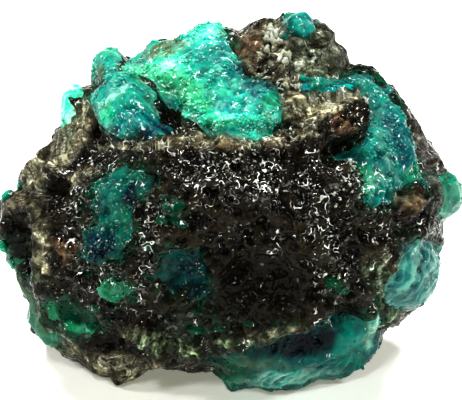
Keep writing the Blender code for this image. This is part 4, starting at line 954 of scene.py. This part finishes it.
def scattered_crystals(points, normals, chance, channels, rng):
    """Crystal points on some of these places, as likely as each place's chance. They take the
    looks of their places, some are paler, and all are painted brighter, a painted highlight."""
    kept = rng.random(len(points)) < chance
    axes = unit(normals[kept] + CRYSTAL_LEAN * rng.normal(size=(kept.sum(), 3)))
    widths = CRYSTAL_SIZE * rng.uniform(0.5, 1.2, len(axes))
    lengths = widths * rng.uniform(0.5, 0.9, len(axes))
    turns = rng.uniform(0.0, math.pi, len(axes))
    shapes = crystal_points(points[kept], axes, widths, lengths, turns)
    looks = {key: values[kept] for key, values in channels.items()}
    looks["pale"] = np.maximum(looks["pale"], rng.uniform(-0.8, 1.1, len(axes)))
    # Painted highlight: the points are painted brighter than their places.
    looks["light"] = looks["light"] * 1.15 + 0.05
    return *shapes, {key: np.repeat(values, CRYSTAL_CORNERS) for key, values in looks.items()}


def growth_channels(spots, name):
    """The looks of a growth at these places: its own, with the patches over them."""
    channels = ("tone", "light", "pale", "druse", "soil")
    return {channel: painted(spots, channel, base)
            for channel, base in zip(channels, (*GROWTH_LOOKS[name], 0.0))}


def make_growth(name, material, druse, rng):
    """One growth: its skin follows the solids' outside, ducks under the rock past its wavy
    outline, and is closed by an underside one thickness below. Its crystals join the druse."""
    side, thickness, _, _ = GROWTHS[name]
    directions, faces, shape = patch_grid(name, GROWTH_SPACING[side])
    bare = body_points(directions)
    depth = wavy_depth(bare, name)
    outer = outer_radius(directions)
    channels = growth_channels(directions * outer[:, None], name)
    heads = beads(bare, 0.66, 65)
    bare_of_druse = 1.0 - np.clip(channels["druse"], 0.0, 1.0)
    detail = growth_detail(bare) + (0.04 + 0.22 * channels["druse"]) * (heads - BEAD_LEVEL)
    detail += bare_of_druse * (0.5 * striae(bare) + 0.45 * crests(bare, 1.3, 68))
    detail *= 1.0 - GROWTH_RIM_DETAIL * rim_share(bare)
    chalky = smooth_step(-0.15, 0.45, lattice_noise(bare / 1.7, 82))
    channels["head"] = channels["druse"] * chalky * smooth_step(0.62, 0.95, heads)
    channels.update(layers(bare))
    # relief is low in the pits and high on the tops; the material paints shade in the pits and a
    # highlight on the tops from it.
    channels["relief"] = smooth_step(-0.40, 0.42, detail)
    duck = DUCK * smooth_step(0.22, -0.30, depth)
    radius = flat_below(directions, outer + detail * smooth_step(-0.1, 0.5, depth) - duck)
    skin = directions * radius[:, None]
    chance = CRYSTAL_CHANCE * channels["druse"] * smooth_step(0.1, 0.5, depth)
    chance *= smooth_step(-0.1, 0.5, lattice_noise(bare / 1.4, 81))
    uneven = depth + 0.8 * lattice_noise(bare / 0.8, 83)
    channels["edge"] = smooth_step(EDGE_WIDTH.get(name, 0.9), 0.0, uneven)
    druse.append(scattered_crystals(skin, grid_normals(skin, shape), chance, channels, rng))
    kept = faces[(depth[faces] > SKIN_EDGE).any(axis=1)]
    under = radius - growth_thickness(depth, thickness)
    points, shell, used = closed_shell(skin, directions * under[:, None], kept)
    channels = {key: np.tile(values[used], 2) for key, values in channels.items()}
    piece = new_piece(name + "_skin", points, shell, material, channels)
    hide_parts(name)


def make_druse(druse, material):
    """All the quartz points of the growths in one piece."""
    points, faces, channels = zip(*druse)
    shift = np.cumsum([0] + [len(part) for part in points])
    faces = np.concatenate([part + start for part, start in zip(faces, shift)])
    looks = {key: np.concatenate([part[key] for part in channels]) for key in channels[0]}
    new_piece("quartz_druse", np.concatenate(points), faces, material, looks,
              smooth=False)


def lump_surface():
    """Points of the lump's outside with their outward normals, on a fine grid of directions."""
    directions, faces = ball_grid(120)
    points = directions * outer_radius(directions)[:, None]
    corner = points[faces]
    crossed = np.cross(corner[:, 1] - corner[:, 0], corner[:, 3] - corner[:, 0])
    normals = np.zeros_like(points)
    for k in range(4):
        np.add.at(normals, faces[:, k], crossed)
    return points, unit(normals)


def surface_places(surface, side, across, up):
    """Feet and outward normals on the lump where these display positions meet its outside: the
    nearest points of its surface on that side."""
    points, normals = surface
    facing_us = side * points[:, 2] > 0.0
    points, normals = points[facing_us], normals[facing_us]
    across, up = np.reshape(across, (-1, 1)), np.reshape(up, (-1, 1))
    pick = np.hypot(points[:, 0] - across, points[:, 1] - up).argmin(axis=1)
    return points[pick], normals[pick]


def make_lumps(surface, material):
    """Small separate lumps of chrysocolla, each a flattened ball with a knobbly skin, half sunk
    in the rock."""
    points, faces, tones, lights = [], [], [], []
    shape, quads = ball_grid(LUMP_GRID)
    for number, (side, across, up, half_length, half_width, turn, tone, light) in enumerate(LUMPS):
        foot, normal = surface_places(surface, side, [across], [up])
        way = np.array([*cos_sin(turn), 0.0])
        along = unit(way - normal * (normal @ way)[:, None])
        wide = np.cross(normal, along)
        scale = 1.0 + LUMP_KNOBBLES * lattice_noise(shape * 1.6 + 9.0 * number, 91)
        ball = shape * scale[:, None]
        ball = (half_length * ball[:, :1] * along + half_width * ball[:, 1:2] * wide
                + 0.8 * half_width * ball[:, 2:] * normal)
        faces.append(quads + sum(len(part) for part in points))
        points.append(foot + ball)
        tones.append(tone)
        lights.append(light)
    height = np.tile(shape[:, 2], len(LUMPS))
    looks = dict.fromkeys(("pale", "head", "soil"), np.zeros(len(height)))
    # relief makes the lower part of each lump darker, a painted shade, and edge darkens it further
    # round its foot.
    looks.update(tone=np.repeat(tones, len(shape)), light=np.repeat(lights, len(shape)),
                 druse=np.full(len(height), LUMP_DRUSE), edge=smooth_step(0.75, 0.25, height),
                 relief=0.4 + 0.5 * smooth_step(0.2, 1.0, height))
    new_piece("small_lumps", np.concatenate(points), np.concatenate(faces), material,
              looks)


def make_clusters(surface, material, rng):
    """Groups of quartz points, scattered round each group's middle and leaning outwards."""
    across, up, sizes = [], [], []
    for middle_across, middle_up, reach, count, size in CLUSTERS:
        turn, out = rng.uniform(0.0, 2.0 * math.pi, count), reach * np.sqrt(rng.random(count))
        across.append(middle_across + out * np.cos(turn))
        up.append(middle_up + out * np.sin(turn))
        sizes.append(size * rng.uniform(0.6, 1.2, count))
    feet, axes = surface_places(surface, FRONT, np.concatenate(across), np.concatenate(up))
    axes = unit(axes + CLUSTER_LEAN * rng.normal(size=axes.shape))
    widths = np.concatenate(sizes)
    lengths = widths * rng.uniform(1.0, 1.9, len(widths))
    turns = rng.uniform(0.0, math.pi, len(widths))
    points, faces = crystal_points(feet, axes, widths, lengths, turns)
    new_piece("quartz_points", points, faces, material, {}, smooth=False)


# --- materials -------------------------------------------------------------------------------
class Value:
    """A value in a node tree that is summed like a number. Each sum is a Math node."""

    def __init__(self, look, socket):
        self.look, self.socket = look, socket

    def __add__(self, other):
        return self.look.sum("ADD", self, other)

    def __sub__(self, other):
        return self.look.sum("SUBTRACT", self, other)

    def __rsub__(self, other):
        return self.look.sum("SUBTRACT", other, self)

    def __mul__(self, other):
        return self.look.sum("MULTIPLY", self, other)

    def __abs__(self):
        return self.look.sum("ABSOLUTE", self)

    def clamped(self):
        """The same sum, held between 0 and 1."""
        self.socket.node.use_clamp = True
        return self

    def above(self, least, slope):
        """A mask: how far the value is above the least, times the slope, from 0 to 1."""
        return ((self - least) * slope).clamped()


class Look:
    """The nodes of one material or group, with a method for each kind that is used."""

    def __init__(self, tree):
        self.tree = tree

    def feed(self, socket, value):
        """Sets a socket to a number or a colour, or links it to a value or another socket."""
        value = getattr(value, "socket", value)
        if isinstance(value, bpy.types.NodeSocket):
            self.tree.links.new(value, socket)
        else:
            socket.default_value = value

    def set(self, node, **settings):
        """Gives a node these settings. One with a socket's name feeds that socket."""
        for key, value in settings.items():
            if hasattr(node, key):
                setattr(node, key, value)
            else:
                self.feed(node.inputs[key.replace("_", " ")], value)
        return node

    def add(self, kind, **settings):
        """A new node with these settings."""
        return self.set(self.tree.nodes.new("ShaderNode" + kind), **settings)

    def sum(self, operation, *terms):
        """One sum on values or numbers."""
        made = self.add("Math", operation=operation)
        for socket, term in zip(made.inputs, terms):
            self.feed(socket, term)
        return Value(self, made.outputs[0])

    def vector(self, operation, *terms, **settings):
        """One sum on vectors."""
        made = self.add("VectorMath", operation=operation, **settings)
        for socket, term in zip(made.inputs, terms):
            self.feed(socket, term)
        return made.outputs[0]

    def mix(self, share, a, b, blend="MIX"):
        """Two colours mixed by a share. Each may be a socket or three numbers."""
        made = self.add("Mix", data_type="RGBA", blend_type=blend)
        for place_in, value in ((0, share), (6, a), (7, b)):
            self.feed(made.inputs[place_in], (*value, 1.0) if isinstance(value, tuple) else value)
        return made.outputs[2]

    def ramp(self, value, *stops):
        """A colour ramp through (place, colour) stops."""
        made = self.add("ValToRGB", Fac=value)
        elements = made.color_ramp.elements
        while len(elements) < len(stops):
            elements.new(1.0)
        for element, (place_on, colour) in zip(elements, stops):
            element.position = place_on
            element.color = (*colour, 1.0)
        return made.outputs["Color"]

    def channels(self, *names):
        """These channels of the piece."""
        return [Value(self, self.add("Attribute", attribute_name=name).outputs["Fac"])
                for name in names]

    def noise_on(self, where, scale, detail, roughness=0.5):
        """Noise from 0 to 1 over these places."""
        return Value(self, self.add("TexNoise", Vector=where, Scale=scale, Detail=detail,
                                    Roughness=roughness).outputs["Fac"])

    def noise(self, size, detail=3.0, roughness=0.55):
        """Noise with features about this many millimetres wide, from 0 to 1."""
        where = self.add("TexCoord").outputs["Object"]
        return self.noise_on(where, 1.0 / (size * MM), detail, roughness)

    def layer_lines(self, width):
        """Fine lines along the layers, from 0 to 1: noise over the channels that hold a place's
        layer and its way round."""
        layer, way_x, way_y = self.channels("layer", "way_x", "way_y")
        where = self.add("CombineXYZ", X=layer * (1.0 / width), Y=way_x, Z=way_y)
        return self.noise_on(where.outputs[0], 1.0, 2.0, 0.6)


def new_material(name):
    """A material, the look that its nodes are added to, and its shader."""
    material = bpy.data.materials.new(name)
    material.use_nodes = True
    tree = material.node_tree
    return material, Look(tree), tree.nodes["Principled BSDF"]


def glassy_grain_group():
    """The skin of tiny glassy grains, as a normal. Space is split into cells round scattered
    spots, and the normal is tilted by a random amount that belongs to the cell, so each grain is
    a little facet. Each cell also has a random value, its chance. Winding creases, the absolute
    value of noise, cut through them, and a curl runs along the middle of a crease. Shared by all
    the stone."""
    group = bpy.data.node_groups.new("glassy_grain", "ShaderNodeTree")
    face = group.interface
    for name, usual in (("Grain Size", 0.3), ("Tilt", 0.4), ("Crease", 0.05)):
        socket = face.new_socket(name, in_out="INPUT", socket_type="NodeSocketFloat")
        socket.default_value = usual
    for name, kind in (("Normal", "Vector"), ("Chance", "Float"), ("Curl", "Float")):
        face.new_socket(name, in_out="OUTPUT", socket_type="NodeSocket" + kind)
    look = Look(group)
    start, end = group.nodes.new("NodeGroupInput"), group.nodes.new("NodeGroupOutput")
    size, tilt, deep = [Value(look, socket) for socket in list(start.outputs)[:3]]
    where = look.add("TexCoord").outputs["Object"]
    scale = look.sum("DIVIDE", 1.0 / MM, size)
    cells = look.add("TexVoronoi", Vector=where, Scale=scale)
    crease = abs(look.noise_on(where, scale * CREASE_SCALE, 0.0) - 0.5)
    drift = look.noise_on(where, scale * CURL_DRIFT_SCALE, 0.0)
    # The curl is where the materials paint their glints: thin white lines that stand in for
    # highlights.
    curl = (drift * 0.14 - 0.034 - crease) * CURL_SHARPNESS
    centred = look.vector("SUBTRACT", cells.outputs["Color"], (0.5, 0.5, 0.5))
    tilted = look.vector("SCALE", centred, Scale=tilt * 2.0)
    whole = look.vector("ADD", look.add("NewGeometry").outputs["Normal"], tilted)
    bump = look.add("Bump", Strength=1.0, Height=crease * -2.5, Distance=deep * MM,
                    Normal=look.vector("NORMALIZE", whole))
    chance = look.add("TexWhiteNoise", Vector=cells.outputs["Position"])
    look.set(end, Normal=bump.outputs["Normal"], Chance=chance.outputs["Value"],
             Curl=curl.clamped())
    return group


def glassy_grain(look, group, size, tilt, crease):
    """The shared skin of grains: its normal, and each place's chance and curl."""
    made = look.add("Group", node_tree=group, Grain_Size=size, Tilt=tilt, Crease=crease)
    chance, curl = (Value(look, made.outputs[name]) for name in ("Chance", "Curl"))
    return made.outputs["Normal"], chance, curl


def painted_glint_mask(look, curl, patch_size, least, gap_size, gap_least):
    """Where the painted glints are, thin white lines that stand in for highlights: on the curls, in
    patches, and with gaps.
    """
    patches = look.noise(patch_size, 3.0, 0.75).above(least, 10.0)
    return curl * patches * look.noise(gap_size, 0.0).above(gap_least, 9.0)


def rock_material(group):
    """Brown-black glassy iron oxide with khaki crust on its ridges, rust and green stain, painted
    shade in its hollows, a painted highlight on its crests, and painted glints: thin winding white
    lines."""
    material, look, shader = new_material("iron_oxide")
    crest, crust, ash, moss, rib = look.channels("crest", "crust", "ash", "moss", "rib")
    rust, stain, hollow, pool = look.channels("rust", "stain", "hollow", "pool")
    gloss, calm = look.channels("gloss", "calm")
    shades = look.ramp(look.noise(1.6, 4.0), (0.30, (0.0015, 0.002, 0.0015)),
                       (0.50, (0.006, 0.005, 0.003)), (0.62, (0.015, 0.010, 0.004)),
                       (0.80, (0.006, 0.009, 0.005)))
    # Painted highlight: the crests are mixed towards a lighter khaki-brown.
    colour = look.mix(crest * 0.5, shades, (0.034, 0.030, 0.016))

    # The crust: khaki or ash, then tinted by moss, ribs, cracks and the lines of its layers.
    mottle = look.noise(1.8, 7.0, 0.72)
    crack = abs(look.noise(1.1, 5.0, 0.6) - 0.5)
    lines = look.layer_lines(0.20)
    crusts = look.ramp(mottle, (0.32, (0.060, 0.050, 0.024)), (0.42, (0.24, 0.212, 0.125)),
                       (0.52, (0.58, 0.56, 0.385)), (0.66, (0.92, 0.93, 0.74)))
    ashes = look.ramp(mottle, (0.34, (0.060, 0.050, 0.055)), (0.50, (0.27, 0.24, 0.24)),
                      (0.66, (0.60, 0.60, 0.54)))
    crusts = look.mix(ash, crusts, ashes)
    for tint in (
        look.mix(moss, (1.0, 1.0, 1.0), (0.48, 0.86, 0.66)),
        look.ramp(rib, (0.0, (0.42, 0.42, 0.40)), (1.0, (1.30, 1.30, 1.26))),
        look.ramp(crack + calm * 0.06, (0.0, (0.20, 0.18, 0.16)), (0.05, (1.0, 1.0, 1.0))),
        look.ramp(lines, (0.38, (0.30, 0.28, 0.25)), (0.50, (0.95, 0.95, 0.95)),
                  (0.64, (1.55, 1.55, 1.50))),
    ):
        crusts = look.mix(1.0, crusts, tint, "MULTIPLY")
    raised = crest * 0.8 + 0.75
    patchy = look.noise(1.0, 4.0, 0.6).above(0.32, 4.0)
    crust_share = (crust * patchy * raised).clamped()
    colour = look.mix(crust_share, colour, crusts)

    # Rust, green stain, painted shade in the hollows and creases, and the smooth teal pools.
    rusts = look.ramp(look.noise(0.9), (0.35, (0.034, 0.021, 0.011)),
                      (0.52, (0.13, 0.072, 0.040)), (0.66, (0.24, 0.17, 0.07)))
    colour = look.mix(((rust * patchy).clamped() * raised).clamped(), colour, rusts)
    greens = look.ramp(look.noise(1.2), (0.35, (0.001, 0.025, 0.012)), (0.65, (0.004, 0.15, 0.08)))
    specks = look.noise(0.55, 4.0, 0.65).above(0.44, 6.0)
    colour = look.mix(stain * specks * 0.9, colour, greens)
    colour = look.mix(hollow * 0.92, colour, (0.003, 0.0025, 0.0015))
    pools = look.ramp(look.noise(1.5), (0.40, (0.002, 0.30, 0.23)), (0.60, (0.001, 0.19, 0.19)))
    colour = look.mix(pool.above(0.4, 2.5), colour, pools)

    # Shiny metallic grains where it is glossy, and painted glints over them: thin winding white
    # lines that stand in for highlights.
    normal, chance, curl = glassy_grain(look, group, 0.36, 0.16, 0.10)
    drift = (look.noise(0.9, 3.0, 0.6) - 0.5) * 1.6
    shiny = chance.above(1.05 - drift - gloss * 0.42 + crust_share * 0.6, 6.0)
    colour = look.mix(shiny, colour, (0.065, 0.063, 0.06))
    painted_glint = painted_glint_mask(look, curl, 2.0, 0.65 - gloss * 0.215, 0.6, 0.38)
    glint_colours = look.ramp(look.noise(0.5), (0.36, (0.16, 0.16, 0.13)), (0.52, (0.85, 0.87, 0.80)))
    rough_skin = look.noise(0.7, 5.0, 0.7) + lines + look.sum("MINIMUM", crack, 0.1)
    bump = look.add("Bump", Strength=1.0, Distance=CRUST_BUMP * MM, Height=crust_share * rough_skin,
                    Normal=normal)
    look.set(shader, Base_Color=look.mix(painted_glint, colour, glint_colours), Metallic=shiny * (1.0 - painted_glint),
             Roughness=crust_share * 0.40 + 0.07, IOR=1.17, Normal=bump.outputs["Normal"])
    return material


def growth_material(group):
    """Waxy to drusy chrysocolla from emerald to deep blue, with painted light and shade: darker and
    bluer in its pits as painted shade, chalky mint on its crests that is partly a painted
    highlight, lighter or darker by its painted light channel, and painted glints where it is drusy."""
    material, look, shader = new_material("chrysocolla")
    tone, light, pale, druse, soil = look.channels("tone", "light", "pale", "druse", "soil")
    relief, head, edge = look.channels("relief", "head", "edge")
    drift = (look.noise(1.4, 4.0) - 0.5) * 0.6
    # The tone runs bluer and darker in the pits, a painted shade.
    colour = look.ramp(
        (tone + drift + (0.5 - relief) * 0.22).clamped(),
        (0.00, (0.002, 0.25, 0.09)), (0.22, (0.006, 0.40, 0.21)), (0.45, (0.003, 0.37, 0.29)),
        (0.65, (0.001, 0.22, 0.22)), (0.85, (0.001, 0.08, 0.13)), (1.00, (0.002, 0.025, 0.06)))

    # Chalky mint on ribs, crests and crystal heads. On the ribs it is the growth's own colour; on
    # the crests and heads it is partly a painted highlight, scaled by the painted light channel.
    patchy = look.noise(0.6, 4.0, 0.65).above(0.38, 4.0)
    lit = (light * 1.1).clamped()
    ribbed = patchy * 0.35 + look.layer_lines(0.26).above(0.44, 7.0) * 0.75
    crest = relief.above(0.66, 3.0) * (lit * 0.15)
    pale_share = (pale * ribbed + crest * patchy).clamped()
    pale_share = look.sum("MAXIMUM", pale_share, head * (lit * 0.58))
    colour = look.mix(pale_share, colour, (0.36, 0.76, 0.60))

    # Its brightness, partly its own and partly painted light and shade: the light channel, times
    # painted shade in the pits from the relief. Then the dark edge in a pocket, and olive soil.
    shade = light * (relief * 0.85 + 0.38)
    grey = look.add("CombineColor", Red=shade, Green=shade, Blue=shade)
    colour = look.mix(1.0, colour, grey.outputs[0], "MULTIPLY")
    colour = look.mix(edge * patchy * 0.85, colour, (0.014, 0.032, 0.014))
    soils = soil * look.noise(0.8, 3.0).above(0.30, 3.0)
    colour = look.mix(soils, colour, (0.10, 0.105, 0.04))

    normal, _, curl = glassy_grain(look, group, 0.26, druse * 0.24, 0.04)
    # Painted glints: thin winding white lines where it is drusy, standing in for highlights.
    painted_glint = painted_glint_mask(look, curl, 1.8, 0.68 - druse * 0.18, 0.45, 0.43)
    look.set(shader, Base_Color=look.mix(painted_glint * 0.9, colour, (0.85, 0.94, 0.88)),
             Roughness=0.08, IOR=1.19, Subsurface_Weight=0.25, Subsurface_Radius=(0.2, 1.0, 0.9),
             Subsurface_Scale=0.5 * MM, Normal=normal)
    return material


def quartz_material():
    """Milky quartz: most of the light goes through it, and the rest is scattered white."""
    material, look, shader = new_material("quartz")
    tint = look.ramp(look.noise(1.2), (0.40, (0.70, 0.75, 0.56)), (0.60, (0.94, 0.97, 0.86)))
    look.set(shader, Base_Color=tint, Roughness=0.03, IOR=1.54, Transmission_Weight=0.6)
    return material


def floor_material():
    """A pale matt floor that glows a little, as one under strong light does."""
    material, look, shader = new_material("pale_floor")
    shades = look.ramp(look.noise(30.0), (0.3, (0.90, 0.90, 0.87)), (0.7, (0.94, 0.94, 0.92)))
    look.set(shader, Base_Color=shades, Roughness=0.6, Emission_Color=(1.0, 1.0, 0.80, 1.0),
             Emission_Strength=0.30)
    return material


# --- floor, light and camera -----------------------------------------------------------------
def make_floor():
    """A level square floor just under the specimen."""
    half = FLOOR_WIDTH / 2.0
    mesh = bpy.data.meshes.new("floor")
    mesh.from_pydata([(-half, -half, 0), (half, -half, 0), (half, half, 0), (-half, half, 0)], [],
                     [(0, 1, 2, 3)])
    mesh.materials.append(floor_material())
    floor = bpy.data.objects.new("floor", mesh)
    floor.location.z = -0.1 * MM
    bpy.context.scene.collection.objects.link(floor)


def aim(thing, target):
    """Turns an object's -Z towards a point."""
    thing.rotation_euler = (Vector(target) - thing.location).to_track_quat("-Z", "Y").to_euler()


def add_lamp(name, direction, size, watts):
    """A soft square lamp in this direction from the specimen, facing it."""
    light = bpy.data.lights.new(name, "AREA")
    light.shape = "RECTANGLE"
    light.size = light.size_y = size
    light.energy = watts
    lamp = bpy.data.objects.new(name, light)
    lamp.location = LAMP_TARGET + LAMP_DISTANCE * np.array(direction) / np.linalg.norm(direction)
    aim(lamp, LAMP_TARGET)
    lamp.visible_camera = False
    bpy.context.scene.collection.objects.link(lamp)


def light_the_scene():
    """A dim white world, the lamps, and a display gamma that deepens the shadows."""
    world = bpy.data.worlds.new("studio")
    world.use_nodes = True
    back = world.node_tree.nodes["Background"]
    back.inputs["Color"].default_value = (1.0, 1.0, 0.98, 1.0)
    back.inputs["Strength"].default_value = WORLD_STRENGTH
    bpy.context.scene.world = world
    for lamp in LAMPS:
        add_lamp(*lamp)
    view = bpy.context.scene.view_settings
    view.view_transform = "Standard"
    view.gamma = CONTRAST


def add_camera():
    """A long lens in front of the display face, at the height from which it is seen square."""
    data = bpy.data.cameras.new("camera")
    data.sensor_width = SENSOR_WIDTH
    data.lens = SENSOR_WIDTH * CAMERA_DISTANCE / FRAME_WIDTH
    camera = bpy.data.objects.new("camera", data)
    target, eye = place(np.array([[*CAMERA_TARGET, 0.0], [*CAMERA_TARGET, CAMERA_DISTANCE]]))
    camera.location = eye
    aim(camera, target)
    data.clip_start, data.clip_end = 0.01, 10.0
    bpy.context.scene.collection.objects.link(camera)
    bpy.context.scene.camera = camera


# --- the whole -------------------------------------------------------------------------------
grain = glassy_grain_group()
make_rock(rock_material(grain))
growth_skin = growth_material(grain)
crystals, rng = [], np.random.default_rng(7)
for growth in GROWTHS:
    make_growth(growth, growth_skin, crystals, rng)
make_druse(crystals, growth_skin)
surface = lump_surface()
make_lumps(surface, growth_skin)
make_clusters(surface, quartz_material(), rng)
make_floor()
light_the_scene()
add_camera()
